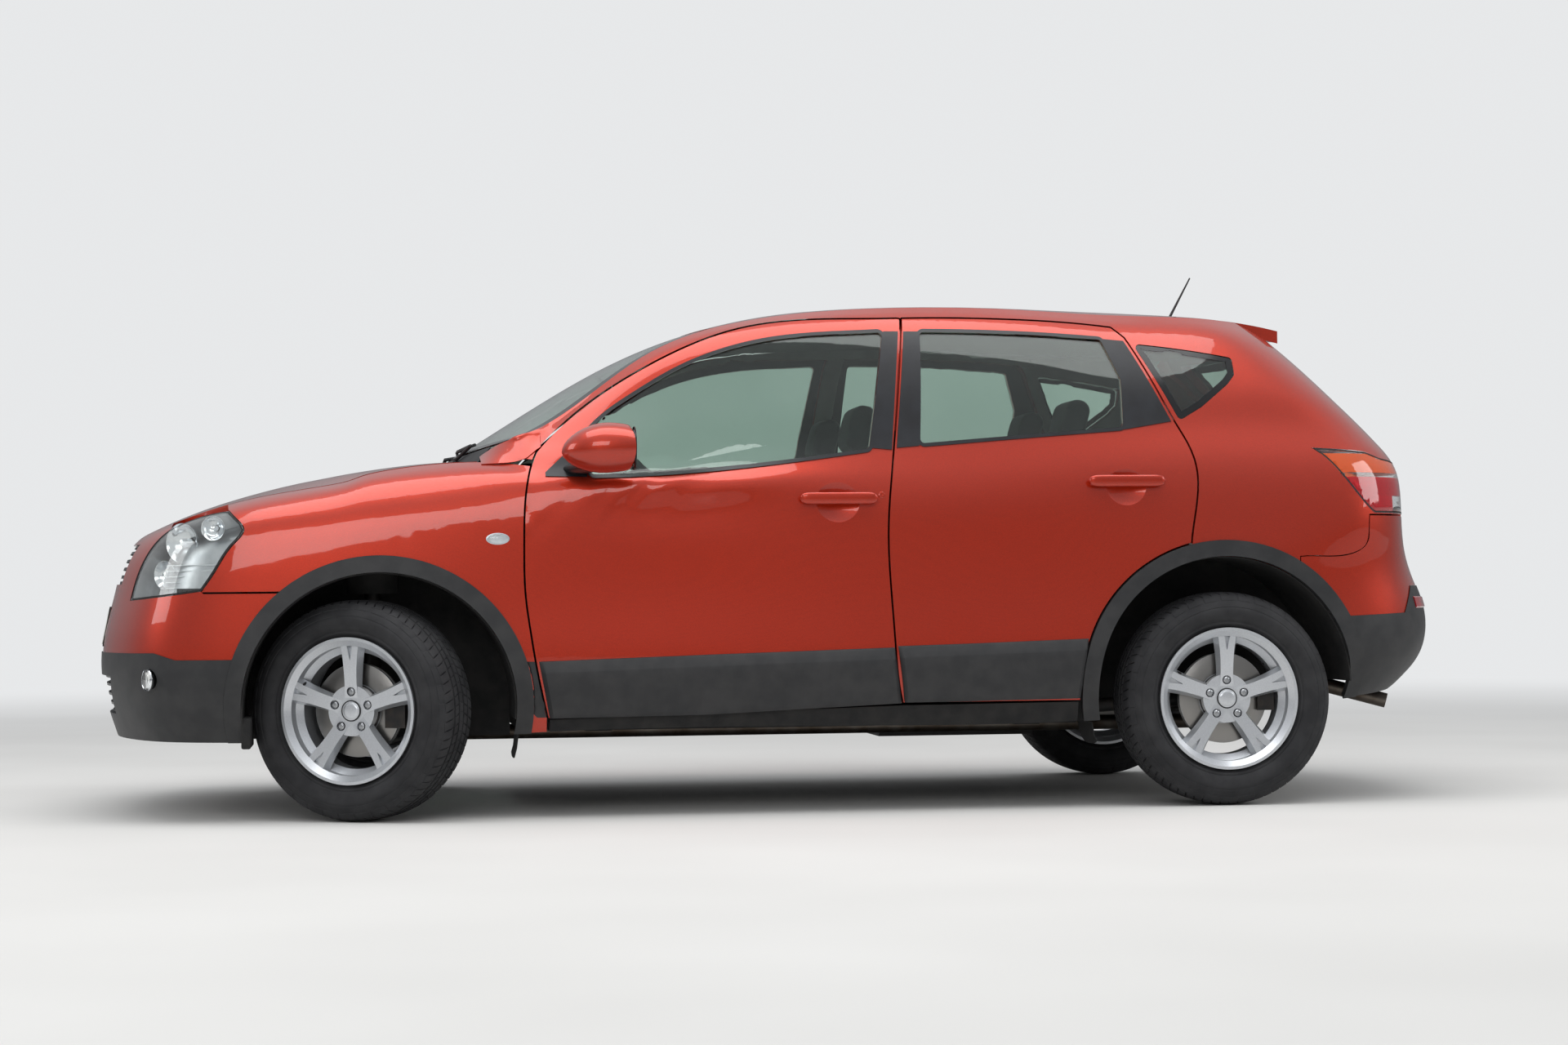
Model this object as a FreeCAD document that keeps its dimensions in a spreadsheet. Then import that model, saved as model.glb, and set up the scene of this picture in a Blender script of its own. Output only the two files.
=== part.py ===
import FreeCAD, Part
import math
import os

# Crossover SUV, millimetres: +X to the nose, +Y to the left, +Z up, origin on the ground under the middle.

Vector = FreeCAD.Vector
Rotation = FreeCAD.Rotation
Placement = FreeCAD.Placement
doc = FreeCAD.newDocument("crossover")
sheet = doc.addObject("Spreadsheet::Sheet", "sizes")

# Driving dimensions

SIZES = (
    ("body_length", 4315), ("body_width", 1783), ("roof_height", 1603), ("wheelbase", 2630),
    ("front_overhang", 852.5), ("track_front", 1540), ("track_rear", 1550),
    ("panel_gap", 6), ("skin_wall", 22), ("pillar_wall", 40), ("door_inner", 745), ("door_margin", 30),
    ("glass_wall", 5), ("glass_gap", 0.3), ("glass_inset", 3), ("trim_proud", 3), ("cladding_proud", 13),
    ("arch_radius", 408), ("arch_band", 50), ("arch_proud", 7), ("arch_depth", 16), ("liner_wall", 4),
    ("liner_inner", 470), ("bumper_wall", 18), ("bonnet_wall", 20), ("roof_wall", 32), ("lamp_depth", 70),
    ("seat_gap", 0.3), ("handle_length", 225),
    ("handle_height", 30), ("handle_wall", 15), ("handle_reach", 15), ("handle_cup_radius", 62),
    ("handle_cup_depth", 12),
    ("tyre_radius", 331), ("tyre_width", 215), ("rim_radius", 220), ("rim_width", 190),
    ("bead_radius", 203), ("well_radius", 184), ("rim_wall", 9), ("rim_offset", 40), ("hub_pad_radius", 76),
    ("hub_pad_wall", 26), ("spoke_count", 5), ("spoke_root", 57), ("spoke_tip", 82), ("spoke_wall", 24),
    ("spoke_face", 72), ("stud_circle", 114.3), ("stud_recess_radius", 14), ("stud_recess_depth", 18),
    ("cap_radius", 29), ("cap_proud", 3), ("disc_radius", 140), ("disc_wall", 24), ("disc_hat_radius", 74),
    ("disc_hat_wall", 6), ("bearing_radius", 44), ("kingpin_inset", 75), ("ball_radius", 16),
    ("steer_angle", 27), ("pivot_rise", 112), ("strut_radius", 25), ("spring_radius", 62),
    ("strut_inset", 165),
    ("floor_height", 262), ("floor_wall", 26), ("sill_outer", 733), ("sill_height", 405),
    ("sill_width", 120), ("tunnel_width", 220), ("tunnel_height", 120), ("boot_floor_height", 560),
    ("firewall_wall", 30),
    ("engine_length", 470), ("engine_width", 800), ("engine_height", 520), ("engine_base", 330),
    ("engine_front", 1690), ("tank_length", 520), ("tank_width", 560), ("tank_height", 70),
    ("pipe_radius", 24), ("silencer_radius", 95), ("silencer_length", 500),
    ("wheel_rim_radius", 188), ("wheel_grip_radius", 15), ("column_angle", 25), ("column_radius", 28),
    ("seat_width", 510), ("cushion_wall", 130), ("cushion_length", 520),
    ("backrest_height", 640), ("backrest_wall", 115), ("backrest_lean", 14), ("seat_spread", 355),
)

for row, (name, value) in enumerate(SIZES, start=1):
    sheet.set("A%d" % row, name)
    sheet.set("B%d" % row, str(value))
    sheet.setAlias("B%d" % row, name)
doc.recompute()


def size(name):
    return float(sheet.get(name))


# The styling lines were drawn at these sizes, and the functions below stretch them to the driving ones

DRAWN_END = 2157.5
DRAWN_FRONT_AXLE = 1305.0
DRAWN_REAR_AXLE = -1325.0
DRAWN_HALF_WIDTH = 891.5
DRAWN_ROOF = 1603.0

half_length = size("body_length") / 2
half_width = size("body_width") / 2
front_axle = half_length - size("front_overhang")
rear_axle = front_axle - size("wheelbase")
hub_height = size("tyre_radius")


def stretch_x(x):
    drawn = (-DRAWN_END, DRAWN_REAR_AXLE, DRAWN_FRONT_AXLE, DRAWN_END)
    real = (-half_length, rear_axle, front_axle, half_length)
    span = 0
    while span < 2 and x > drawn[span + 1]:
        span += 1
    share = (x - drawn[span]) / (drawn[span + 1] - drawn[span])
    return real[span] + share * (real[span + 1] - real[span])


def stretch_y(y):
    return y * half_width / DRAWN_HALF_WIDTH


def stretch_z(z):
    return z * size("roof_height") / DRAWN_ROOF


def place(x, y, z):
    return Vector(stretch_x(x), stretch_y(y), stretch_z(z))


# Smooth curves

def cubic(knots, values):
    """Natural cubic spline through the values at the knots, as a function."""
    last = len(knots) - 1
    steps = [knots[i + 1] - knots[i] for i in range(last)]
    bends = [0.0] * (last + 1)
    shares = [0.0] * (last + 1)
    for i in range(1, last):
        slope_change = (values[i + 1] - values[i]) / steps[i] - (values[i] - values[i - 1]) / steps[i - 1]
        pivot = 2 * (steps[i - 1] + steps[i]) - steps[i - 1] * shares[i - 1]
        shares[i] = steps[i] / pivot
        bends[i] = (6 * slope_change - steps[i - 1] * bends[i - 1]) / pivot
    for i in range(last - 1, 0, -1):
        bends[i] -= shares[i] * bends[i + 1]

    def at(u):
        i = 0
        while i < last - 1 and u > knots[i + 1]:
            i += 1
        before = knots[i + 1] - u
        after = u - knots[i]
        step = steps[i]
        return ((bends[i] * before ** 3 + bends[i + 1] * after ** 3) / (6 * step)
                + (values[i] / step - bends[i] * step / 6) * before
                + (values[i + 1] / step - bends[i + 1] * step / 6) * after)
    return at


def curve_through(knots, points):
    """Space curve through the points, as a function that gives a vector."""
    along = [cubic(knots, [point[axis] for point in points]) for axis in range(3)]
    return lambda u: Vector(along[0](u), along[1](u), along[2](u))


def profile_through(points):
    """Height over length through drawn points, from the tail to the nose, as a function of real length."""
    points = sorted(points)
    return cubic([stretch_x(x) for x, z in points], [stretch_z(z) for x, z in points])


def steps_between(start, end, count):
    return [start + (end - start) * i / (count - 1) for i in range(count)]


# The outer form: each line runs from the nose round the side to the tail, past stations along the body

NOSE, CORNER_END, FRONT_AXLE, COWL, DOOR_FRONT = 0, 1080, 1600, 1975, 2075
MIRROR, ROOF_FRONT, PILLAR, ARCH_FRONT, REAR_AXLE = 2425, 2740, 3180, 3800, 4230
TAIL_CORNER, TAIL = 4700, 5760

# Station, width, setback from the end and share of the rise to the side
PLAN_NOSE = ((350, 350, 22, 0.05), (620, 600, 92, 0.16), (850, 770, 195, 0.34), (CORNER_END, 852, 370, 0.60),
             (1335, 879, 610, 0.83))
PLAN_TAIL = ((5410, 350, 27, 0.05), (5140, 600, 95, 0.16), (4910, 765, 215, 0.34), (TAIL_CORNER, 847, 382, 0.60),
             (4470, 876, 608, 0.83))
PLAN_WIDTH = 885.0
END_REACH = 1000

# Length and height at the nose and tail, how square the tail is, and the points past the side stations
AXLES = (FRONT_AXLE, DOOR_FRONT, PILLAR, ARCH_FRONT, REAR_AXLE)
AXLES_X = (1305, 830, -280, -900, -1325)
LOWER_LINES = (
    # bottom edge
    ((2105, 245), (-2042, 354), 1.0, ((820, 240), (828, 258), (828, 262), (828, 270), (820, 300))),
    # fullest line of the mouldings
    ((2151.5, 430), (-2138.7, 477), 1.0, ((884, 420), (872, 400), (872, 400), (872, 410), (884, 430))),
    ((2146, 560), (-2148.2, 612), 1.0, ((885.5, 575), (873, 590), (873, 590), (873, 600), (885.5, 605))),
    ((2115, 690), (-2100, 718), 0.9, ((880, 720), (868, 735), (868, 735), (868, 745), (882, 750))),
    ((2086, 790), (-2056, 840), 0.68, ((870, 845), (865, 855), (866, 855), (866, 865), (874, 865))),
    # shoulder
    ((2062, 830), (-2052, 960), 0.66, ((850, 940), (858, 950), (862, 955), (862, 965), (864, 975))),
    ((2040, 853), (-2038, 1055), 0.66, ((790, 1012), (836, 1020), (847, 1035), (847, 1060), (842, 1082))),
)
# Bonnet edge, then the waist
WAIST_LINE = ((2012, 870), (-1998, 1115), 0.66, (
    (FRONT_AXLE, 1305, 705, 1046), (COWL, 930, 735, 1078), (DOOR_FRONT, 830, 790, 1066),
    (MIRROR, 480, 817, 1038), (ROOF_FRONT, 160, 822, 1066), (PILLAR, -280, 823, 1108),
    (ARCH_FRONT, -900, 818, 1152), (REAR_AXLE, -1325, 806, 1176)))
# Side glass, cant rail over the doors, and the edge of the roof and of the windscreen
UPPER_LINES = (
    (None, (-1858, 1262), 0.6, (
        (COWL, 930, 728, 1092), (DOOR_FRONT, 830, 775, 1090), (MIRROR, 480, 797, 1140),
        (ROOF_FRONT, 160, 795, 1200), (PILLAR, -280, 792, 1240), (ARCH_FRONT, -860, 787, 1266),
        (REAR_AXLE, -1235, 776, 1280))),
    (None, (-1742, 1383), 0.6, (
        (COWL, 930, 716, 1106), (DOOR_FRONT, 830, 752, 1110), (MIRROR, 480, 757, 1262),
        (ROOF_FRONT, 160, 745, 1360), (PILLAR, -280, 738, 1400), (ARCH_FRONT, -820, 731, 1410),
        (REAR_AXLE, -1150, 720, 1403))),
    (None, (-1655, 1472), 0.6, (
        (COWL, 930, 700, 1122), (DOOR_FRONT, 830, 726, 1136), (MIRROR, 480, 708, 1362),
        (ROOF_FRONT, 160, 680, 1488), (PILLAR, -280, 664, 1523), (ARCH_FRONT, -780, 655, 1519),
        (REAR_AXLE, -1080, 642, 1505))),
    (None, (-1612, 1522), 0.6, (
        (COWL, 930, 672, 1140), (DOOR_FRONT, 830, 690, 1168), (MIRROR, 480, 650, 1402),
        (ROOF_FRONT, 160, 612, 1520), (PILLAR, -280, 592, 1566), (ARCH_FRONT, -760, 584, 1563),
        (REAR_AXLE, -1040, 575, 1549))),
)


def design_line(nose, tail, square, side):
    """Curve of one line along the stations, carried on past the middle of the nose and of the tail."""
    stops = [(station, place(x, y, z)) for station, x, y, z in side]
    ends = [(tail, PLAN_TAIL, TAIL, side[-1], -square)]
    if nose:
        ends.append((nose, PLAN_NOSE, NOSE, side[0], 1.0))
    for (end_x, end_height), plan, end_station, (_, _, side_width, side_height), inward in ends:
        stops.append((end_station, place(end_x, 0, end_height)))
        for station, width, setback, rise in plan:
            height = end_height + (side_height - end_height) * rise
            point = place(end_x - inward * setback, width * side_width / PLAN_WIDTH, height)
            stops.append((station, point))
            if abs(station - end_station) < END_REACH:
                stops.append((2 * end_station - station, Vector(point.x, -point.y, point.z)))
    stops.sort(key=lambda stop: stop[0])
    return curve_through([stop[0] for stop in stops], [stop[1] for stop in stops])


def side_stops(pairs):
    return tuple((station, x, y, z) for station, x, (y, z) in zip(AXLES, AXLES_X, pairs))


lower_curves = [design_line(nose, tail, square, side_stops(pairs)) for nose, tail, square, pairs in LOWER_LINES]
lower_curves.append(design_line(*WAIST_LINE))
side_curves = lower_curves + [design_line(*line) for line in UPPER_LINES]
bonnet_edge = lower_curves[-1]
roof_edge = side_curves[-1]


def form_column(curves, station, rows, first, last):
    """Points up the outer form at one station; past the middle of an end it is the other side's mirror image."""
    if station < NOSE or station > TAIL:
        real_station = -station if station < NOSE else 2 * TAIL - station
        return [Vector(p.x, -p.y, p.z) for p in form_column(curves, real_station, rows, first, last)]
    points = [curve(station) for curve in curves]
    knots = [0.0]
    for below, above in zip(points, points[1:]):
        knots.append(knots[-1] + (above - below).Length)
    section = curve_through(knots, points)
    return [section(knots[-1] * share) for share in steps_between(first, last, rows)]


def form_grid(curves, start, end, columns, rows, first=0.0, last=1.0):
    return [form_column(curves, station, rows, first, last) for station in steps_between(start, end, columns)]


# Slabs between two surfaces

def offset_grid(grid, depth):
    """Points moved by a depth below the surface; the depth may be a function of the point."""
    moved = []
    for i, column in enumerate(grid):
        moved.append([])
        for j, point in enumerate(column):
            along = grid[min(i + 1, len(grid) - 1)][j] - grid[max(i - 1, 0)][j]
            up = column[min(j + 1, len(column) - 1)] - column[max(j - 1, 0)]
            normal = up.cross(along)
            normal.normalize()
            moved[-1].append(point + normal * (depth(point) if callable(depth) else depth))
    return moved


def surface_of(grid):
    surface = Part.BSplineSurface()
    surface.interpolate(grid)
    return surface


def slab(outer, inner):
    """Closed solid between two grids of points."""
    surfaces = [surface_of(outer), surface_of(inner)]
    faces = [surface.toShape() for surface in surfaces]
    rims = []
    for surface in surfaces:
        u_first, u_last, v_first, v_last = surface.bounds()
        rims.append([surface.vIso(v_first), surface.uIso(u_last), surface.vIso(v_last), surface.uIso(u_first)])
    for near, far in zip(*rims):
        faces.append(Part.makeRuledSurface(near.toShape(), far.toShape()))
    shell = Part.Shell(faces)
    shell.sewShape()
    solid = Part.Solid(shell)
    if solid.Volume < 0:
        solid.reverse()
    return solid


def skin(grid, top, bottom):
    """Slab from a depth under the outer form to a greater one."""
    return slab(offset_grid(grid, top) if top else grid, offset_grid(grid, bottom))


# Objects of the document

def feature(name, shape):
    part = doc.addObject("Part::Feature", name)
    part.Shape = shape
    return part


def bind(part, **sizes_of):
    for field, expression in sizes_of.items():
        part.setExpression(field, expression)
    return part


def block(name, corner, length, width, height):
    """Box whose edges are expressions of the sheet or numbers, from its lowest corner."""
    part = doc.addObject("Part::Box", name)
    for field, value in (("Length", length), ("Width", width), ("Height", height)):
        if isinstance(value, str):
            part.setExpression(field, value)
        else:
            setattr(part, field, value)
    part.Placement = Placement(Vector(*corner), Rotation())
    return part


def rod(name, start, end, radius):
    """Cylinder between two points, its radius an expression of the sheet or a number."""
    part = doc.addObject("Part::Cylinder", name)
    if isinstance(radius, str):
        part.setExpression("Radius", radius)
    else:
        part.Radius = radius
    start, end = Vector(*start), Vector(*end)
    part.Height = (end - start).Length
    part.Placement = Placement(start, Rotation(Vector(0, 0, 1), end - start))
    return part


def ball(name, centre, radius):
    part = doc.addObject("Part::Sphere", name)
    if isinstance(radius, str):
        part.setExpression("Radius", radius)
    else:
        part.Radius = radius
    part.Placement = Placement(Vector(*centre), Rotation())
    return part


def cut(name, base, tool):
    part = doc.addObject("Part::Cut", name)
    part.Base = base
    part.Tool = tool
    return part


def common(name, base, tool):
    part = doc.addObject("Part::Common", name)
    part.Base = base
    part.Tool = tool
    return part


def fuse(name, *pieces):
    part = doc.addObject("Part::MultiFuse", name)
    part.Shapes = list(pieces)
    return part


def group(name, *pieces):
    part = doc.addObject("Part::Compound", name)
    part.Links = list(pieces)
    return part


def mirror(name, source):
    part = doc.addObject("Part::Mirroring", name)
    part.Source = source
    part.Normal = Vector(0, 1, 0)
    return part


def revolve(name, points, angle=360):
    """Solid turned about the Y axis from (radius, y) points."""
    wire = Part.makePolygon([Vector(r, y, 0) for r, y in points + points[:1]])
    part = doc.addObject("Part::Revolution", name)
    part.Source = feature(name + "_profile", Part.Face(wire))
    part.Axis = Vector(0, 1, 0)
    part.Angle = angle
    part.Solid = True
    return part


def moved(part, placement):
    part.Placement = placement
    return part


# Outlines: spans of drawn points, a curve where a span has more than two, joined by straight lines

def outline(spans, upright):
    """Closed wire of drawn points: in the side view, or in the end view where upright is the X axis."""
    def real(point):
        first, height = point
        if upright == "y":
            return Vector(stretch_x(first), 0, stretch_z(height))
        return Vector(0, stretch_y(first), stretch_z(height))
    edges = []
    spans = [[real(point) for point in span] for span in spans]
    for span, after in zip(spans, spans[1:] + spans[:1]):
        if len(span) > 2:
            curve = Part.BSplineCurve()
            curve.interpolate(span)
            edges.append(curve.toShape())
        elif len(span) == 2:
            edges.append(Part.LineSegment(*span).toShape())
        if (span[-1] - after[0]).Length > 0.01:
            edges.append(Part.LineSegment(span[-1], after[0]).toShape())
    return Part.Wire(edges)


def rebuilt(wire):
    """The same wire with every edge made again as a line, an arc or a spline that ends where the next starts."""
    runs = []
    for edge in wire.OrderedEdges:
        if edge.Length < 0.5:
            continue
        straight = isinstance(edge.Curve, Part.Line)
        points = edge.discretize(Number=2 if straight else 3 if isinstance(edge.Curve, Part.Circle) else 12)
        if edge.Orientation == "Reversed":
            points.reverse()
        runs.append((edge.Curve, points))
    if (runs[0][1][-1] - runs[1][1][0]).Length > (runs[0][1][0] - runs[1][1][0]).Length:
        runs[0][1].reverse()
    edges = []
    for i, (curve, points) in enumerate(runs):
        previous = runs[i - 1][1]
        if i and (points[-1] - previous[-1]).Length < (points[0] - previous[-1]).Length:
            points.reverse()
        if i:
            points[0] = previous[-1]
        if i == len(runs) - 1:
            points[-1] = runs[0][1][0]
        if isinstance(curve, Part.Line):
            edges.append(Part.LineSegment(points[0], points[-1]).toShape())
        elif isinstance(curve, Part.Circle):
            edges.append(Part.Arc(*points).toShape())
        else:
            spline = Part.BSplineCurve()
            spline.interpolate(points)
            edges.append(spline.toShape())
    return Part.Wire(edges)


def grown(wire, distance):
    if not distance:
        return wire
    return rebuilt(wire.makeOffset2D(distance, join=0, fill=False, openResult=False))


def rounded(wire, radius):
    """The wire with its outward corners rounded."""
    return grown(grown(wire, -radius), radius)


def prism(name, wire, start, end, axis="y"):
    """Prism of an outline from one depth to another along Y or X."""
    direction = Vector(0, 1, 0) if axis == "y" else Vector(1, 0, 0)
    face = Part.Face(wire)
    face.translate(direction * start)
    return feature(name, face.extrude(direction * (end - start)))


def side_prism(name, spans, growth=0.0, corner=0.0, start=300, end=1100):
    return prism(name, grown(rounded(outline(spans, "y"), corner), growth), start, end)


def end_prism(name, spans, start, end, growth=0.0):
    return prism(name, grown(outline(spans, "x"), growth), stretch_x(start), stretch_x(end), "x")


def both_halves(span):
    """The right half of an end view, as the mirror image of the left one."""
    return [(-y, z) for y, z in reversed(span)]


# Shut lines and openings in the side view

FRONT_GAP = [
    (782, 302), (803, 392), (818, 467), (833, 562), (847, 669), (850, 828), (847, 934), (837, 1012), (806, 1106)]
DOOR_TOP = [
    (794, 1120), (631, 1266), (486, 1358), (329, 1437), (170, 1492), (21, 1516), (-126, 1523), (-326, 1526)]
PILLAR_GAP = [
    (-334, 1525), (-303, 1305), (-282, 1119), (-261, 964), (-254, 840), (-259, 696), (-269, 535), (-280, 401),
    (-295, 333)]
# The rear door's frame stands back a little more above the waist, where both doors lean inwards
FRAME_SETBACK = 3
REAR_TOP = [(-344, 1526), (-500, 1528), (-703, 1524), (-907, 1513), (-1016, 1501)]
REAR_GAP = [
    (-1050, 1467), (-1114, 1330), (-1176, 1196), (-1214, 1117), (-1232, 1040), (-1229, 959), (-1214, 873),
    (-1207, 830)]
FRONT_WINDOW = [
    [(650, 1168), (597, 1219), (519, 1273), (372, 1360), (225, 1419), (78, 1454), (-70, 1470), (-272, 1481)],
    [(-207, 1112), (120, 1070), (509, 1038), (650, 1034)]]
REAR_WINDOW = [
    [(-391, 1482), (-700, 1476), (-971, 1460)], [(-1018, 1329)], [(-1012, 1178), (-700, 1154), (-367, 1127)]]
QUARTER_WINDOW = [
    [(-1074, 1448), (-1248, 1428), (-1394, 1403)], [(-1392, 1346), (-1366, 1316)], [(-1271, 1241), (-1196, 1198)]]
WINDOW_CORNER = 14
SEAL_WIDTH = 11
MIRROR_PATCH = [[(661, 1160), (786, 1042)], [(786, 1030), (661, 1027)]]
FRONT_PILLAR_TRIM = [[(-214, 1114), (-276, 1484)], [(-323, 1484), (-299, 1305), (-278, 1108)]]
REAR_PILLAR_TRIM = [[(-340, 1484), (-316, 1305), (-293, 1114)], [(-364, 1120), (-388, 1484)]]
REAR_CORNER_TRIM = [[(-976, 1463), (-1046, 1457)], [(-1168, 1196), (-1014, 1170)], [(-1024, 1330), (-976, 1463)]]
FRONT_CLADDING = [[(800, 470), (300, 486), (-265, 501)], [(-274, 400), (-286, 342)], [(300, 312), (770, 306)]]
REAR_CLADDING = [
    [(-294, 506), (-500, 511), (-880, 522)], [(-864, 470), (-854, 407), (-852, 345)], [(-310, 342), (-302, 400)]]

rear_arch_centre = (rear_axle + 7, hub_height + 34)
front_arch_centre = (front_axle - 20, hub_height + 5)


def disc_prism(name, centre, radius, start, end):
    disc = Part.Face(Part.Wire(Part.makeCircle(radius, Vector(centre[0], start, centre[1]), Vector(0, 1, 0))))
    return feature(name, disc.extrude(Vector(0, end - start, 0)))


band_radius = size("arch_radius") + size("arch_band")
clearance = size("panel_gap")

# The doors

front_door_line = [DOOR_TOP, PILLAR_GAP, FRONT_GAP]


def rear_door_wire(growth):
    """Outline of the rear door, whose lower corner follows the wheel arch."""
    radius = band_radius + clearance
    corner_angle = math.radians(76)
    foot_angle = math.radians(-1)
    centre = Vector(rear_arch_centre[0], 0, rear_arch_centre[1])

    def on_arch(angle):
        return centre + Vector(math.cos(angle), 0, math.sin(angle)) * radius
    top, foot = on_arch(corner_angle), on_arch(foot_angle)
    middle = on_arch((corner_angle + foot_angle) / 2)
    ahead = [(x - clearance - (FRAME_SETBACK if z > 1200 else 0), z) for x, z in PILLAR_GAP]
    edges = []
    for points in (REAR_TOP, REAR_GAP, ahead):
        curve = Part.BSplineCurve()
        curve.interpolate([Vector(stretch_x(x), 0, stretch_z(z)) for x, z in points])
        edges.append(curve.toShape())
    roofline, rear, front = edges
    foot_height = stretch_z(PILLAR_GAP[-1][1])
    corner = Vector(foot.x, 0, foot_height)
    ordered = [
        roofline, Part.LineSegment(roofline.lastVertex().Point, rear.firstVertex().Point).toShape(), rear,
        Part.LineSegment(rear.lastVertex().Point, top).toShape(), Part.Arc(top, middle, foot).toShape(),
        Part.LineSegment(foot, corner).toShape(),
        Part.LineSegment(corner, front.lastVertex().Point).toShape(), front,
        Part.LineSegment(front.firstVertex().Point, roofline.firstVertex().Point).toShape()]
    return grown(Part.Wire(ordered), growth)


side_grid = form_grid(side_curves, 2010, 5260, 52, 26)
low_grid = form_grid(lower_curves, 2010, 4400, 40, 16)
side_skin_shape = skin(side_grid, 0, size("skin_wall"))


def door_parts(name, wire_of, window, pillar_trims, cladding, handle_at, waist):
    """Shell, glass and black trim of a left-hand door, in that order."""
    face = feature(name + "_face", side_skin_shape)
    outer = common(name + "_outer", face, prism(name + "_line", wire_of(0), 300, 1100))
    deep_top = [[(2000, 200), (2000, waist[0])], [(-2000, waist[1]), (-2000, 200)]]
    deep = prism(name + "_deep_line", wire_of(-size("door_margin")), size("door_inner"), 1100)
    deep = common(name + "_deep_low", deep, side_prism(name + "_below_waist", deep_top))
    inner = feature(name + "_inside", slab(
        offset_grid(low_grid, size("skin_wall") / 2),
        [[Vector(p.x, size("door_inner"), p.z) for p in column] for column in low_grid]))
    deep = common(name + "_deep", deep, inner)
    whole = fuse(name + "_whole", outer, deep)
    opened = cut(name + "_opened", whole, side_prism(name + "_window", window, 0, WINDOW_CORNER))
    x, z, lean = handle_at
    surface_y = surface_width(x, z)
    centre = Vector(stretch_x(x), surface_y, stretch_z(z))
    cup_radius, cup_depth = size("handle_cup_radius"), size("handle_cup_depth")
    sphere_radius = (cup_radius ** 2 + cup_depth ** 2) / (2 * cup_depth)
    cup = doc.addObject("Part::Sphere", name + "_cup")
    cup.Radius = sphere_radius
    cup.Placement = Placement(centre + Vector(0, sphere_radius - cup_depth, 0), Rotation())
    dished = cut(name + "_dished", opened, cup)
    shell = fuse(name, dished, handle(name + "_handle", centre, lean))
    glass = common(name + "_glass", feature(name + "_pane", skin(
        side_grid, size("glass_inset"), size("glass_inset") + size("glass_wall"))),
        side_prism(name + "_pane_line", window, -size("glass_gap"), WINDOW_CORNER))
    proud = feature(name + "_proud", skin(side_grid, -size("trim_proud"), -size("seat_gap")))
    ring = cut(name + "_seal_line", side_prism(name + "_seal_outer", window, SEAL_WIDTH, WINDOW_CORNER), side_prism(
        name + "_seal_inner", window, 0, WINDOW_CORNER))
    lines = [side_prism("%s_pillar_line_%d" % (name, i), spans) for i, spans in enumerate(pillar_trims)]
    trim = common(name + "_seal", proud, fuse(name + "_trim_line", ring, *lines))
    plate = common(name + "_cladding", feature(name + "_cladding_skin", skin(
        side_grid, -size("cladding_proud"), -size("seat_gap"))), side_prism(name + "_cladding_line", cladding))
    return shell, glass, group(name + "_trim", trim, plate)


def surface_width(x, z):
    """Half width of the outer form at a drawn place in the side view."""
    target = Vector(stretch_x(x), 0, stretch_z(z))
    points = (p for column in side_grid for p in column)
    return min(points, key=lambda p: math.hypot(p.x - target.x, p.z - target.z)).y


def handle(name, centre, lean):
    """Pull handle: a bar on two feet in front of its cup."""
    length, height, wall = size("handle_length"), size("handle_height"), size("handle_wall")
    reach = size("handle_reach")
    bar = block(name + "_bar", (-length / 2, reach, -height / 2), "sizes.handle_length", "sizes.handle_wall",
                "sizes.handle_height")
    rounded = doc.addObject("Part::Fillet", name + "_round")
    rounded.Base = bar
    rounded.Edges = [(edge, wall * 0.45, wall * 0.45) for edge in range(1, 13)]
    foot_length = length * 0.16
    feet = []
    for side_sign in (-1, 1):
        x = side_sign * (length / 2 - foot_length / 2 - 2) - foot_length / 2
        feet.append(block("%s_foot_%d" % (name, side_sign + 1), (x, -wall, -height * 0.4), foot_length,
                          reach + wall * 1.4, height * 0.8))
    whole = fuse(name, rounded, *feet)
    whole.Placement = Placement(centre, Rotation(Vector(0, 1, 0), lean))
    return whole


def front_door_wire(growth):
    return grown(outline(front_door_line, "y"), growth)


door_sets = {
    "front_door": door_parts("front_door_left", front_door_wire, FRONT_WINDOW, [FRONT_PILLAR_TRIM, MIRROR_PATCH],
                             FRONT_CLADDING, (-102, 958, 0), (1012, 1118)),
    "rear_door": door_parts("rear_door_left", rear_door_wire, REAR_WINDOW, [REAR_PILLAR_TRIM, REAR_CORNER_TRIM],
                            REAR_CLADDING, (-1004, 1008, 0), (1080, 1180)),
}
for door_name, left_parts in door_sets.items():
    for part, ending in zip(left_parts, ("", "_glass", "_trim")):
        part.Label = door_name + "_left" + ending
        mirror(door_name + "_right" + ending, part)

# Mirrors on the front doors: a rounded housing with a flat face, on a foot

MIRROR_CENTRE = (530, 962, 1107)
MIRROR_HALF = (96, 77)
# Distance ahead of the glass and share of the full section there
MIRROR_SECTIONS = ((0, 0.95), (14, 1.0), (70, 0.99), (130, 0.9), (178, 0.68), (206, 0.38), (216, 0.1))
MIRROR_SQUARENESS = 2.35


def mirror_section(centre, ahead, share):
    """Closed curve of the mirror's housing, square to the X axis and drawn in at the outer front."""
    points = []
    for i in range(20):
        angle = 2 * math.pi * i / 20
        across, up = math.cos(angle), math.sin(angle)
        power = 2 / MIRROR_SQUARENESS
        y = math.copysign(abs(across) ** power, across) * MIRROR_HALF[0] * share
        z = math.copysign(abs(up) ** power, up) * MIRROR_HALF[1] * share
        points.append(centre + Vector(ahead, y - (1 - share) * 30, z - (1 - share) * 10))
    curve = Part.BSplineCurve()
    curve.interpolate(points, PeriodicFlag=True)
    return Part.Wire(curve.toShape())


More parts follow.
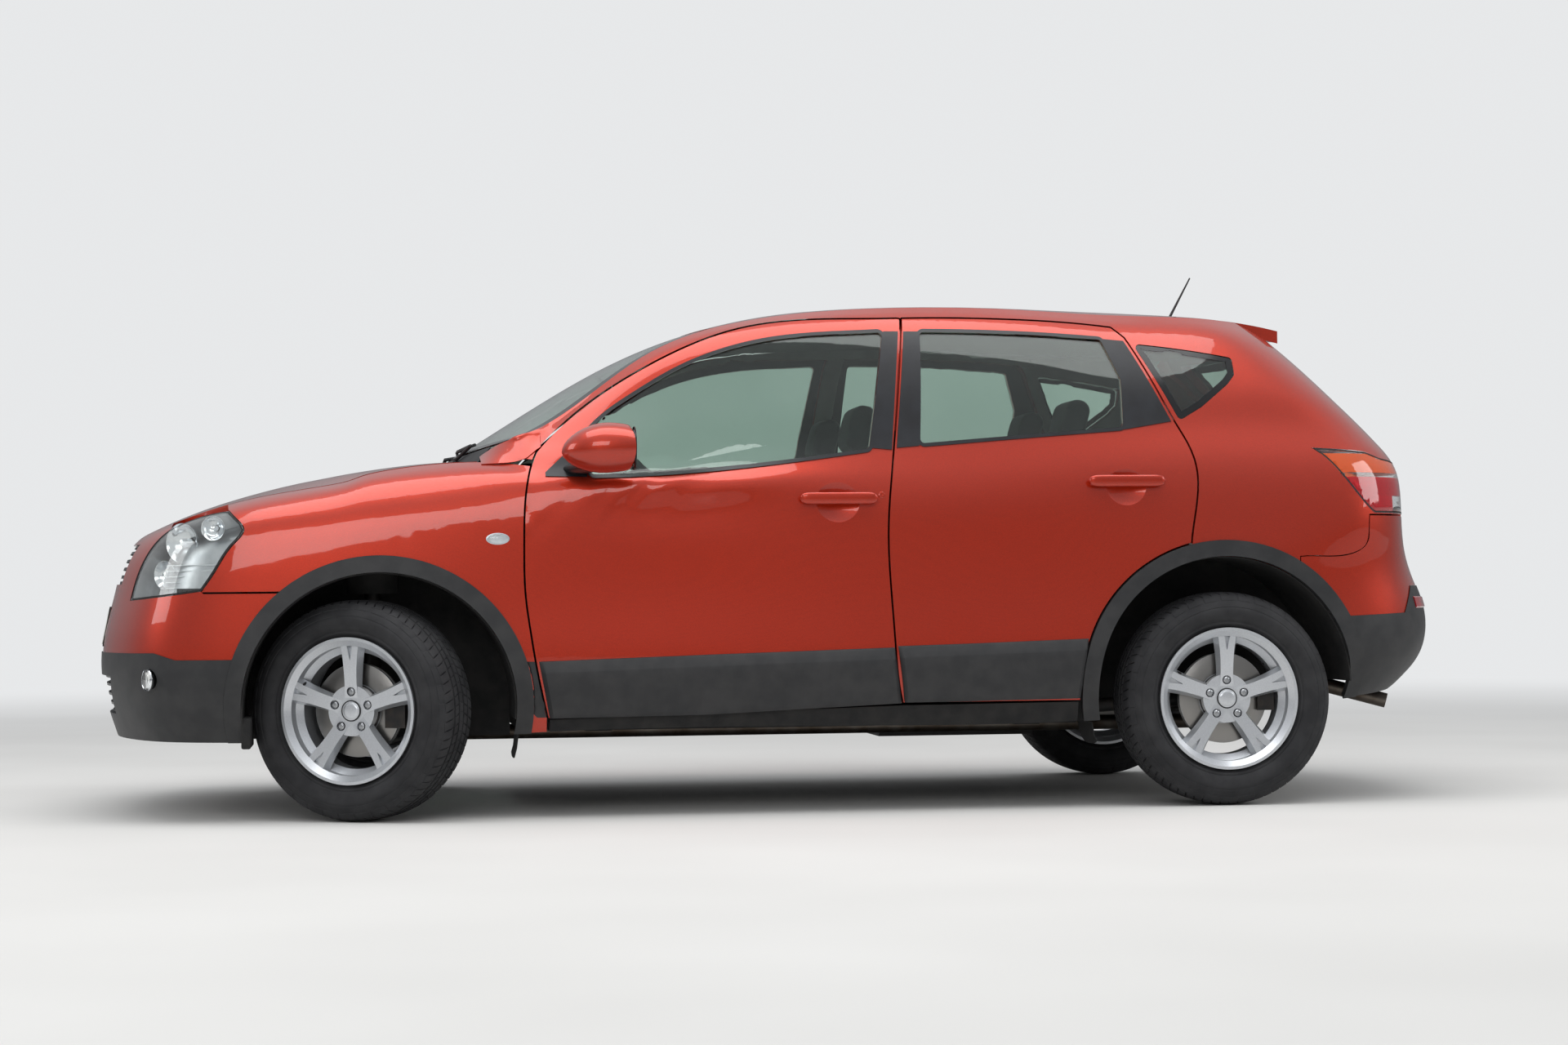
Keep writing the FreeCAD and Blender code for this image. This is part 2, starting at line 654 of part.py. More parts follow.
def door_mirror(name):
    centre = place(*MIRROR_CENTRE)
    sections = [mirror_section(centre, ahead, share) for ahead, share in MIRROR_SECTIONS]
    bowl = feature(name + "_bowl", Part.makeLoft(sections, True, False))
    inner_y = surface_width(683, 1050) - 12
    foot = block(name + "_foot_block", (centre.x + 118, inner_y, centre.z - 72), 72, centre.y - inner_y - 20, 38)
    foot_round = doc.addObject("Part::Fillet", name + "_foot_round")
    foot_round.Base = foot
    foot_round.Edges = [(edge, 10, 10) for edge in range(1, 13)]
    seat_skin = feature(name + "_seat", skin(side_grid, -size("trim_proud") - size("seat_gap"), 60))
    return fuse(name, bowl, cut(name + "_foot", foot_round, seat_skin))


left_mirror = door_mirror("mirror_left")
mirror("mirror_right", left_mirror)

# The front: wings, bumper, lower moulding, grille, headlamps and bonnet

FORM_TOP = 0.992
LAMP_BACK = [(1729, 931), (1703, 904), (1683, 876), (1714, 830), (1767, 750), (1808, 691)]
LAMP_FOOT = [(1808, 691), (1892, 680), (2028, 666)]
LAMP_FRONT = [(2028, 666), (2006, 743), (1964, 822), (1901, 881)]
LAMP_TOP = [(1901, 881), (1818, 914), (1729, 931)]
HEADLAMP = [LAMP_BACK, LAMP_FOOT, LAMP_FRONT, LAMP_TOP]
WING_SEAM = 686
LOWER_SPLIT = [[(1500, 488), (1885, 488)], [(1950, 509), (2300, 504)]]
GRILLE = [(470, 838), (430, 716)]
INTAKE = [(500, 436), (440, 318)]
FOG_LAMP = (1967, 770, 429)
FOG_RADIUS = 36

nose_grid = form_grid(lower_curves, -2260, 2260, 91, 18, 0.0, FORM_TOP)
wing_grid = form_grid(lower_curves, 560, 2300, 44, 18, 0.0, FORM_TOP)


def reversed_spans(spans):
    return [list(reversed(span)) for span in reversed(spans)]


def lowered(spans, drop):
    return [[(x, z - drop) for x, z in span] for span in spans]


wing_line = [
    [(788, 240), (788, 300)], [(x - 10, z) for x, z in FRONT_GAP[1:-1]], [(804, 1100), (820, 1200)],
    [(1745, 1200), (1745, 1000)], LAMP_BACK[:-1], [(1806, WING_SEAM + 3), (1500, WING_SEAM + 3)], [(1500, 240)]]
front_arch = disc_prism("front_arch_cut", front_arch_centre, band_radius + size("seat_gap"), -1200, 1200)
rear_arch = disc_prism("rear_arch_cut", rear_arch_centre, band_radius + size("seat_gap"), -1200, 1200)
lamp_hole = side_prism("headlamp_hole", HEADLAMP, 3)
wing_skin = feature("wing_skin", skin(wing_grid, 0, size("skin_wall")))
wing_panel = common("wing_panel", wing_skin, side_prism("wing_line", wing_line))
wing_left = cut("wing_left", wing_panel, fuse("wing_holes", lamp_hole, front_arch, prism(
    "wing_door_hole", front_door_wire(clearance), 300, 1100)))
group("front_wings", wing_left, mirror("wing_right", wing_left))

headlamp = common("headlamp_left", feature("headlamp_skin", skin(wing_grid, 0, size("lamp_depth"))),
                  side_prism("headlamp_line", HEADLAMP))
group("headlamps", headlamp, mirror("headlamp_right", headlamp))

bumper_line = [
    [(1500, WING_SEAM - 3), (1800, WING_SEAM - 3)], [(x, z - 0.5) for x, z in LAMP_FOOT],
    [(x + 4, z) for x, z in LAMP_FRONT], [(1900, 1000), (2300, 1000)]] + reversed_spans(LOWER_SPLIT)
nose_skin = feature("nose_skin", skin(nose_grid, 0, size("bumper_wall")))
grille_hole = end_prism("grille_hole", [GRILLE, both_halves(GRILLE)], 1700, 2300)
bumper_panel = common("bumper_panel", nose_skin, side_prism("bumper_line", bumper_line, start=-1200, end=1200))
cut("front_bumper", cut("bumper_arched", bumper_panel, front_arch), grille_hole)

lower_line = lowered(LOWER_SPLIT, size("seat_gap")) + [[(2300, 200), (1500, 200)]]
lower_skin = feature("front_lower_skin", skin(nose_grid, -4, size("bumper_wall") - 4))
lower_panel = common("front_lower_panel", lower_skin, side_prism(
    "front_lower_line", lower_line, start=-1200, end=1200))
intake_hole = end_prism("intake_hole", [INTAKE, both_halves(INTAKE)], 1700, 2300)
fog_cups = []
for side_sign in (-1, 1):
    cup = doc.addObject("Part::Sphere", "fog_cup_%d" % (side_sign + 1))
    cup.Radius = FOG_RADIUS
    cup.Placement = Placement(place(FOG_LAMP[0] + 8, side_sign * (FOG_LAMP[1] + 14), FOG_LAMP[2]), Rotation())
    fog_cups.append(cup)
cut("front_lower_moulding", cut("front_lower_arched", lower_panel, front_arch),
    fuse("front_lower_holes", intake_hole, *fog_cups))

# Grille: a frame and level slats that follow the nose, and the same in the intake below


def slatted(name, hole, count, slat, rim, depth, wall):
    """Frame with slats inside an end view opening, set a depth behind the outer form."""
    base = feature(name + "_skin", skin(nose_grid, depth, depth + wall))
    outer = end_prism(name + "_outer", [hole, both_halves(hole)], 1700, 2300, -size("seat_gap"))
    inner = end_prism(name + "_inner", [hole, both_halves(hole)], 1700, 2300, -rim)
    frame = cut(name + "_frame", outer, inner)
    top, bottom = stretch_z(hole[0][1]), stretch_z(hole[1][1])
    pitch = (top - bottom) / (count + 1)
    slats = []
    for i in range(1, count + 1):
        z = bottom + pitch * i - slat / 2
        slats.append(block("%s_slat_%d" % (name, i), (1700, -stretch_y(hole[0][0]), z), 600,
                           2 * stretch_y(hole[0][0]), slat))
    bars = common(name + "_bars", fuse(name + "_slats", *slats), outer)
    return common(name + "_body", base, fuse(name + "_pattern", frame, bars))


group("grille", slatted("upper_grille", GRILLE, 4, 9, 10, 8, 16), slatted("lower_grille", INTAKE, 3, 8, 8, 8, 12))

BONNET_PROFILE = profile_through((
    (1050, 1100), (1110, 1096), (1217, 1088), (1378, 1066), (1539, 1038), (1667, 1006), (1774, 973), (1858, 942),
    (1939, 907), (2012, 870)))
BONNET_FRONT, BONNET_BACK = 700, 1925
BONNET_BULGE = cubic([700, 1080, 1600, 1925], [112, 104, 96, 122])
bonnet_gap_share = 1 - clearance / bonnet_edge(FRONT_AXLE).y


def bonnet_grid(columns, across):
    """Points over the bonnet from its leading edge to the scuttle, left to right."""
    def plain(station, share):
        edge = bonnet_edge(station)
        bulge = BONNET_BULGE(station)
        height = BONNET_PROFILE(edge.x + bulge)
        rise = 1 - share * share
        return Vector(edge.x + bulge * rise, edge.y * share, edge.z + (height - edge.z) * rise)
    shares = steps_between(bonnet_gap_share, -bonnet_gap_share, across)
    lead = []
    for share in shares:
        point = bonnet_edge(abs(share) * BONNET_FRONT)
        lead.append(Vector(point.x, math.copysign(point.y, share), point.z) - plain(BONNET_FRONT, share))
    grid = []
    for i, station in enumerate(steps_between(BONNET_FRONT, BONNET_BACK, columns)):
        fade = (1 - i / (columns - 1)) ** 3
        grid.append([plain(station, share) + shift * fade for share, shift in zip(shares, lead)])
    return grid


bonnet_points = bonnet_grid(22, 19)
feature("bonnet", slab(bonnet_points, offset_grid(bonnet_points, size("bonnet_wall"))))

# The top: windscreen, roof and spoiler between the edges of the roof

TOP_PROFILE = profile_through((
    (1110, 1078), (1055, 1112), (931, 1190), (772, 1290), (592, 1394), (391, 1483), (250, 1527), (160, 1550),
    (26, 1575), (-127, 1590), (-280, 1598), (-600, 1603), (-982, 1597), (-1298, 1581), (-1480, 1563), (-1640, 1540)))
TOP_BULGE = cubic([COWL, DOOR_FRONT, MIRROR, ROOF_FRONT, PILLAR, ARCH_FRONT, REAR_AXLE, TAIL_CORNER, 4910],
                  [168, 162, 110, 60, 10, 0, -20, -70, -129])
SCREEN_FOOT, SCREEN_TOP, ROOF_START, ROOF_END = 2010, 2648, 2656, 4910


def top_grid(start, end, columns, across, inset, drop=0.0):
    """Points over the top, front to back and left to right, ending an inset short of the roof's edges."""
    grid = []
    for station in steps_between(start, end, columns):
        edge = roof_edge(station)
        bulge = TOP_BULGE(station)
        height = TOP_PROFILE(edge.x + bulge)
        reach = 1 - inset / edge.y
        grid.append([])
        for share in steps_between(reach, -reach, across):
            rise = 1 - abs(share) ** 2.2
            grid[-1].append(Vector(edge.x + bulge * rise, edge.y * share, edge.z + (height - edge.z) * rise - drop))
    return grid


def plan_prism(name, start, end, inset):
    """Upright prism over the ground plan between the roof's edges."""
    left = [roof_edge(station) for station in steps_between(start, end, 13)]
    left = [Vector(p.x, p.y - inset, 900) for p in left]
    right = [Vector(p.x, -p.y, p.z) for p in reversed(left)]
    edges = []
    for points in (left, right):
        spline = Part.BSplineCurve()
        spline.interpolate(points)
        edges.append(spline.toShape())
    edges.insert(1, Part.LineSegment(left[-1], right[0]).toShape())
    edges.append(Part.LineSegment(right[-1], left[0]).toShape())
    return feature(name, Part.Face(Part.Wire(edges)).extrude(Vector(0, 0, 900)))


DITCH = 0.1
screen_points = top_grid(SCREEN_FOOT, SCREEN_TOP, 18, 19, DITCH)
feature("windscreen", slab(offset_grid(screen_points, 2), offset_grid(screen_points, 2 + size("glass_wall"))))

under_bonnet = [p + Vector(14, 0, -size("bonnet_wall") - 14) for p in bonnet_points[-1]][1:-1]
behind_bonnet = [p + Vector(-6, 0, -size("bonnet_wall") - 10) for p in bonnet_points[-1]][1:-1]
under_glass = [p + Vector(10, 0, -1) for p in offset_grid(screen_points, 2 + size("glass_wall") + 0.6)[0]][1:-1]
between = [(near + far) * 0.5 for near, far in zip(behind_bonnet, under_glass)]
scuttle_rows = [under_bonnet, behind_bonnet, between, under_glass]
SCUTTLE_WALL = 5


def height_of(grid, x, y):
    """Height of the grid's point nearest to a place in plan."""
    return min((p for column in grid for p in column), key=lambda p: math.hypot(p.x - x, p.y - y)).z


def bonnet_underside(x, y):
    return height_of(offset_grid(bonnet_points, size("bonnet_wall")), x, y) - 2.5


TAILGATE_SPLIT = -1440
HEADER_REACH = 120
SPOILER_WALL = 40
GATE_SIDE = [
    (520, 738), (572, 782), (588, 860), (598, 960), (600, 1060), (586, 1160), (556, 1300), (524, 1420), (505, 1520)]
GATE_TOP = 1700
gate_spans = [GATE_SIDE, [(505, GATE_TOP), (-505, GATE_TOP)], both_halves(GATE_SIDE)]
gate_hole = end_prism("tailgate_hole", gate_spans, -2300, TAILGATE_SPLIT + 2, clearance)

roof_points = top_grid(ROOF_START, ROOF_END, 30, 17, DITCH)
roof_slab = feature("roof_slab", slab(roof_points, offset_grid(roof_points, size("roof_wall"))))
header_back, header_front = stretch_x(TAILGATE_SPLIT - 36), stretch_x(TAILGATE_SPLIT + 26)
header_top = TOP_PROFILE(header_back) - SPOILER_WALL - 1.3
header = block("roof_header", (header_back, -HEADER_REACH, header_top - 24), header_front - header_back,
               2 * HEADER_REACH, 24)
riser = block("roof_riser", (stretch_x(TAILGATE_SPLIT + 8), -HEADER_REACH, header_top - 24),
              header_front - stretch_x(TAILGATE_SPLIT + 8), 2 * HEADER_REACH,
              TOP_PROFILE(header_front) - size("roof_wall") - header_top + 30)
over_doors = fuse("over_doors", prism("roof_over_front", front_door_wire(clearance), -1100, 1100),
                  prism("roof_over_rear", rear_door_wire(clearance), -1100, 1100))
fuse("roof", cut("roof_panel", cut("roof_over_doors", roof_slab, over_doors), gate_hole), header, riser)

# The sides: pillars, cant rails and quarters, with the inner frame of the door openings

TAIL_SEAM = [(-1560, 769), (-1613, 770), (-1745, 781), (-1785, 806), (-1796, 850), (-1799, 900)]
LAMP_FORWARD = [(-1799, 1101), (-1700, 1108), (-1615, 1112)]
LAMP_LOWER = [(-1615, 1112), (-1690, 1046), (-1750, 972), (-1816, 906)]
TAIL_LAMP = [[(-2100, 906), (-2100, 1058)], [(-1860, 1082), (-1799, 1101)], LAMP_FORWARD, LAMP_LOWER]

pillar_skin = feature("pillar_skin", skin(side_grid, 0, size("pillar_wall")))
door_holes = [prism("front_door_hole", front_door_wire(clearance), 300, 1100),
              prism("rear_door_hole", rear_door_wire(clearance), 300, 1100)]
wing_zone = side_prism("wing_zone", [
    [(772, 200), (772, 300)], [(800, 425), (806, 1078)], [(830, 1084), (1200, 1120)], [(1200, 200)]])
sill_zone = side_prism("sill_zone", [
    [(1200, 200), (1200, 300)], [(-852, 340), (-852, 560)], [(-1000, 560), (-1000, 200)]])
tail_zone = side_prism("tail_zone", [TAIL_SEAM, [(-2300, 900), (-2300, 200)], [(-1560, 200)]], 3)
lamp_zone = side_prism("tail_lamp_hole", TAIL_LAMP, size("seat_gap"))
quarter_hole = side_prism("quarter_hole", QUARTER_WINDOW, 0, WINDOW_CORNER)
roof_zone = plan_prism("roof_zone", SCREEN_FOOT - 60, ROOF_END, -0.3)
panel = cut("side_panel", pillar_skin, fuse(
    "side_holes", *door_holes, wing_zone, sill_zone, tail_zone, lamp_zone, quarter_hole, rear_arch, gate_hole,
    roof_zone))
inner_skin = feature("inner_frame_skin", skin(side_grid, size("skin_wall") + clearance, size("pillar_wall") + 24))
frame_line = [[(1000, 1130), (1000, 1600)], [(-1300, 1600), (-1300, 1200)]]
frame_zone = cut("frame_zone", fuse("frame_outer", prism("frame_front", front_door_wire(clearance + 8), 300, 1100),
                                    prism("frame_rear", rear_door_wire(clearance + 8), 300, 1100)),
                 fuse("frame_inner", prism("frame_front_hole", front_door_wire(-26), 300, 1100),
                      prism("frame_rear_hole", rear_door_wire(-26), 300, 1100)))
frame_upper = common("frame_upper", frame_zone, side_prism("frame_above", frame_line))
# The door's front corner swings back past the windscreen pillar, which is thinner there
swing_room = common("swing_room", feature("swing_skin", skin(side_grid, 0, size("skin_wall") + clearance + 12)),
                    side_prism("swing_line", [[(540, 1000), (540, 1700)], [(1000, 1700), (1000, 1000)]]))
frame = cut("side_frame", common("side_frame_whole", inner_skin, frame_upper), fuse("frame_cuts", roof_zone, swing_room))
side_left = fuse("side_left", panel, frame)
group("body_sides", side_left, mirror("side_right", side_left))

quarter = common("quarter_left", feature("quarter_skin", skin(
    side_grid, size("glass_inset"), size("glass_inset") + size("glass_wall"))),
    side_prism("quarter_line", QUARTER_WINDOW, -size("glass_gap"), WINDOW_CORNER))
group("quarter_glass", quarter, mirror("quarter_right", quarter))

tail_lamp = cut("tail_lamp_left", common("tail_lamp_block", feature("tail_lamp_skin", skin(
    form_grid(side_curves, 4420, 5300, 20, 26), 0, size("lamp_depth"))), side_prism("tail_lamp_line", TAIL_LAMP)),
    gate_hole)
group("tail_lamps", tail_lamp, mirror("tail_lamp_right", tail_lamp))

# The rear: bumper, lower moulding and tailgate

REAR_SPLIT = [[(-1566, 578), (-1932, 591)], [(-1978, 677), (-2300, 677)]]
tail_grid = form_grid(side_curves, 4280, 2 * TAIL - 4280, 75, 26)
tail_skin = feature("tail_skin", skin(tail_grid, 0, size("bumper_wall")))
rear_line = [TAIL_SEAM[:-1], [(-1799, 898), (-2300, 898)]] + reversed_spans(REAR_SPLIT)
rear_panel = common("rear_panel", tail_skin, side_prism("rear_line", rear_line, start=-1200, end=1200))
cut("rear_bumper", rear_panel, fuse("rear_holes", rear_arch, gate_hole))
rear_lower_line = lowered(REAR_SPLIT, size("seat_gap")) + [[(-2300, 200), (-1400, 200)]]
cut("rear_lower_moulding", common("rear_lower_panel", feature("rear_lower_skin", skin(
    tail_grid, -3, size("bumper_wall") - 3)), side_prism("rear_lower_line", rear_lower_line, start=-1200, end=1200)),
    rear_arch)

REAR_GLASS = [(520, 1178), (528, 1210), (502, 1330), (470, 1440), (455, 1468)]
gate_grid = form_grid(side_curves, TAIL - 760, TAIL + 760, 41, 26)
gate_skin = feature("tailgate_skin", skin(gate_grid, 0, 30))
gate_line = end_prism("tailgate_line", gate_spans, -2300, TAILGATE_SPLIT - 4)
glass_hole = prism("rear_glass_hole", rounded(outline([REAR_GLASS, both_halves(REAR_GLASS)], "x"), 40),
                   stretch_x(-2300), stretch_x(-1500), "x")
gate_panel = cut("tailgate_panel", common("tailgate_whole", gate_skin, gate_line), glass_hole)
spoiler_points = []
for i, x in enumerate(steps_between(stretch_x(TAILGATE_SPLIT - 4), stretch_x(-1652), 9)):
    spoiler_points.append([])
    for share in steps_between(1, -1, 13):
        y = (stretch_y(505) - i * 2.5) * share
        back = (stretch_x(-1652) - stretch_x(TAILGATE_SPLIT)) * 0.16 * share * share * (i / 8) ** 2
        edge_drop = stretch_z(30) * abs(share) ** 2.4
        spoiler_points[-1].append(Vector(x - back, y, TOP_PROFILE(x) - edge_drop))
spoiler_floor = [[p - Vector(0, 0, SPOILER_WALL) for p in line] for line in spoiler_points]
spoiler = feature("spoiler", slab(spoiler_points, spoiler_floor))
fuse("tailgate", gate_panel, spoiler)
common("tailgate_glass", feature("tailgate_pane", skin(gate_grid, 2, 2 + size("glass_wall"))), prism(
    "tailgate_pane_line", grown(rounded(outline([REAR_GLASS, both_halves(REAR_GLASS)], "x"), 40), -size("glass_gap")),
    stretch_x(-2300), stretch_x(-1500), "x"))

# Black mouldings round the wheel arches, and the liners inside them


def arch_ring(name, centre):
    outer = disc_prism(name + "_outer", centre, band_radius, 400, 1200)
    inner = disc_prism(name + "_inner", centre, size("arch_radius"), 400, 1200)
    return cut(name + "_ring", outer, inner)


mouldings = []
for name, centre, grid in (("front_arch_left", front_arch_centre, wing_grid),
                           ("rear_arch_left", rear_arch_centre, form_grid(side_curves, 3500, 4930, 40, 26))):
    band = feature(name + "_skin", skin(grid, -size("arch_proud"), size("arch_depth")))
    ring = common(name, band, arch_ring(name, centre))
    mouldings += [ring, mirror(name.replace("left", "right"), ring)]
group("arch_mouldings", *mouldings)

liners = []
for name, centre, foot in (("front_liner", front_arch_centre, 300), ("rear_liner", rear_arch_centre, 380)):
    outer = disc_prism(name + "_outer", centre, size("arch_radius") - size("seat_gap"), size("liner_inner"), 850)
    inner = disc_prism(name + "_inner", centre, size("arch_radius") - size("seat_gap") - size("liner_wall"), 400, 900)
    below = block(name + "_below", (centre[0] - 600, 400, -200), 1200, 600, 200 + foot)
    strut_hole = rod(name + "_strut_hole", (front_axle, size("track_front") / 2 - size("strut_inset"), 600),
                     (front_axle, size("track_front") / 2 - size("strut_inset"), 1000), 84)
    liner = cut(name + "_left", cut(name + "_tube", outer, inner), fuse(name + "_away", below, strut_hole))
    liners += [liner, mirror(name + "_right", liner)]
group("wheel_liners", *liners)

# Wheels: a tyre and an alloy rim with its brake disc, drawn about the Y axis with the outer face at +Y

half_tyre = size("tyre_width") / 2
half_rim = size("rim_width") / 2
bead = size("bead_radius") + size("seat_gap")
TYRE_HALF = [(221, 79), (236, 93), (256, 104), (274, 107.5), (292, 105), (308, 97), (321, 85), (328, 68), (331, 40)]
TYRE_WALL = 11
FLANGE_STEP = 8


def tyre_profile():
    scale = (size("tyre_radius") - bead) / (331 - 203.3)

    def at(radius, y):
        return (bead + (radius - 203.3) * scale, y * half_tyre / 107.5)
    outer = [at(radius, y) for radius, y in TYRE_HALF]
    bead_edge = half_rim - FLANGE_STEP - size("seat_gap")
    outside = [(bead, bead_edge - 14), (bead, bead_edge), (size("rim_radius") - 2, bead_edge)] + outer
    inside = [(r - TYRE_WALL * 0.6, y * 0.86) for r, y in outer[1:]]
    loop = outside + [(r, -y) for r, y in reversed(outside)]
    loop += [(bead + 12, -bead_edge + 14)] + [(r, -y) for r, y in inside]
    loop += list(reversed(inside)) + [(bead + 12, bead_edge - 14)]
    return loop


def rim_profile():
    flange, seat, well, wall = size("rim_radius"), size("bead_radius"), size("well_radius"), size("rim_wall")
    step = half_rim - FLANGE_STEP
    outside = [(flange, half_rim), (flange, step), (seat, step), (seat, 55), (well, 38), (well, -22), (seat, -48),
               (seat, -step), (flange, -step), (flange, -half_rim)]
    inside = [(flange - wall, -half_rim), (seat - wall, -step + 8), (seat - wall, -44), (well - wall, -18),
              (well - wall, 34), (seat - wall, 51), (seat - wall, step - 8), (flange - wall, half_rim)]
    return outside + inside


def section(x, width, front, back, bevel):
    """Closed four-sided section of a spoke, square to the X axis."""
    corners = [(-width / 2, back), (width / 2, back), (width / 2 - bevel, front), (-width / 2 + bevel, front)]
    points = [Vector(x, y, z) for z, y in corners]
    return Part.makePolygon(points + points[:1])


def wheel(name, disc_outer):
    """Alloy rim with five spokes, lug recesses in line with them, and the brake disc behind."""
    face, pad = size("spoke_face"), size("rim_offset")
    barrel = revolve(name + "_barrel", rim_profile())
    spoke_end = size("bead_radius") - size("rim_wall") * 0.8
    root = section(size("hub_pad_radius") * 0.5, size("spoke_root"), face - 6, pad + size("hub_pad_wall") * 0.3, 7)
    waist = section(spoke_end * 0.62, size("spoke_root") * 1.05, face + 1, face - size("spoke_wall"), 9)
    tip = section(spoke_end, size("spoke_tip"), face + 5, face + 5 - size("spoke_wall"), 12)
    one = Part.makeLoft([root, waist, tip], True, False)
    notch = Part.makePolygon([Vector(spoke_end - 46, face + 40, 0), Vector(spoke_end + 30, face + 40, -16),
                              Vector(spoke_end + 30, face + 40, 16), Vector(spoke_end - 46, face + 40, 0)])
    notch = Part.Face(notch).extrude(Vector(0, -50, 0))
    one = one.cut(notch)
    count = int(size("spoke_count"))
    spokes = [one.copy() for _ in range(count)]
    for i, spoke in enumerate(spokes):
        spoke.rotate(Vector(), Vector(0, 1, 0), -90 + i * 360 / count)
    core = Part.makeCylinder(size("hub_pad_radius") * 0.8, size("hub_pad_wall") * 0.6, Vector(0, pad + 2, 0),
                             Vector(0, 1, 0))
    star = feature(name + "_spokes", core.multiFuse(spokes))
    hat, lid = size("disc_hat_radius"), size("disc_hat_wall")
    hub = revolve(name + "_hub", [
        (0, pad - lid), (hat - lid, pad - lid), (hat - lid, 0), (disc_outer, 0), (disc_outer, size("disc_wall")),
        (hat, size("disc_wall")), (hat, pad), (size("hub_pad_radius"), pad),
        (size("hub_pad_radius"), pad + size("hub_pad_wall")), (size("cap_radius"), pad + size("hub_pad_wall")),
        (size("cap_radius"), face + size("cap_proud") - 6), (0, face + size("cap_proud") - 6)])
    recesses = []
    for i in range(count):
        angle = math.radians(90 + i * 360 / count)
        x = math.cos(angle) * size("stud_circle") / 2
        z = math.sin(angle) * size("stud_circle") / 2
        recesses.append(rod("%s_recess_%d" % (name, i), (x, face - size("stud_recess_depth"), z), (x, face + 60, z),
                            "sizes.stud_recess_radius"))
    whole = fuse(name + "_whole", barrel, star, hub)
    whole.Refine = False
    return cut(name + "_solid", whole, fuse(name + "_recesses", *recesses))


def kingpin_placement(side_sign):
    """Where the steered wheel's own frame lies, turned about its kingpin to the angle of rest."""
    pin = Vector(front_axle, side_sign * (size("track_front") / 2 - size("kingpin_inset")), hub_height)
    turn = Rotation(Vector(0, 0, 1), -size("steer_angle"))
    return Placement(pin + turn.multVec(Vector(0, side_sign * size("kingpin_inset"), 0)), turn)


def wheel_placement(end, side_sign):
    flip = Placement(Vector(), Rotation(Vector(0, 0, 1), 0 if side_sign > 0 else 180))
    if end == "front":
        return kingpin_placement(side_sign).multiply(flip)
    return Placement(Vector(rear_axle, side_sign * size("track_rear") / 2, hub_height), Rotation()).multiply(flip)


wheel_solid = wheel("alloy", size("disc_radius"))
tyre_solid = revolve("tyre_solid", tyre_profile())
wheel_spots = [(end, side_name, side_sign) for end in ("front", "rear") for side_name, side_sign in (
    ("left", 1), ("right", -1))]
for end, side_name, side_sign in wheel_spots:
    spot = wheel_placement(end, side_sign)
    moved(group("wheel_%s_%s" % (end, side_name), wheel_solid), spot)
    moved(group("tyre_%s_%s" % (end, side_name), tyre_solid), spot)

# Front knuckles, drawn in the wheel's own frame with the calliper behind the axle

CALLIPER_GAP = 5
inset = size("kingpin_inset")
rise = size("pivot_rise")
hub_face = size("rim_offset") - size("disc_hat_wall") - size("seat_gap")


def knuckle():
    housing = rod("knuckle_housing", (0, -40, 0), (0, hub_face, 0), "sizes.bearing_radius")
    pieces = [housing]
    for sign in (-1, 1):
        end_z = sign * rise
        pieces.append(ball("knuckle_ball_%d" % (sign + 1), (0, -inset, end_z), "sizes.ball_radius"))
        pieces.append(rod("knuckle_pin_%d" % (sign + 1), (0, -inset, end_z), (0, -inset, end_z - sign * 30), 9))
        pieces.append(rod("knuckle_web_%d" % (sign + 1), (0, -inset, end_z - sign * 32), (0, -24, sign * 26), 14))
    disc_edge = size("disc_radius")
    carrier = block("calliper_body", (-disc_edge - 24, -18, -52), 66, size("disc_wall") + 34, 104)
    slot = rod("calliper_slot", (0, -CALLIPER_GAP, 0), (0, size("disc_wall") + CALLIPER_GAP, 0),
               disc_edge + CALLIPER_GAP)
    calliper = cut("calliper", carrier, slot)
    bracket = block("calliper_bracket", (-disc_edge + 20, -18, -16), disc_edge - 40, 10, 32)
    arm = rod("steering_arm", (-20, -30, -20), (-118, -62, -24), 11)
    return fuse("knuckle_solid", *pieces, calliper, bracket, arm)


knuckle_solid = knuckle()
knuckle_mirror = mirror("knuckle_mirror", knuckle_solid)
moved(group("knuckle_left", knuckle_solid), kingpin_placement(1))
moved(group("knuckle_right", knuckle_mirror), kingpin_placement(-1))

# Front suspension: lower arms, strut feet, struts and springs on a cross member

FRONT_FRAME = dict(x=-75, y=-400, z=205, length=230, width=800, height=56)
ARM_SPREAD = 95
pin_y = size("track_front") / 2 - inset


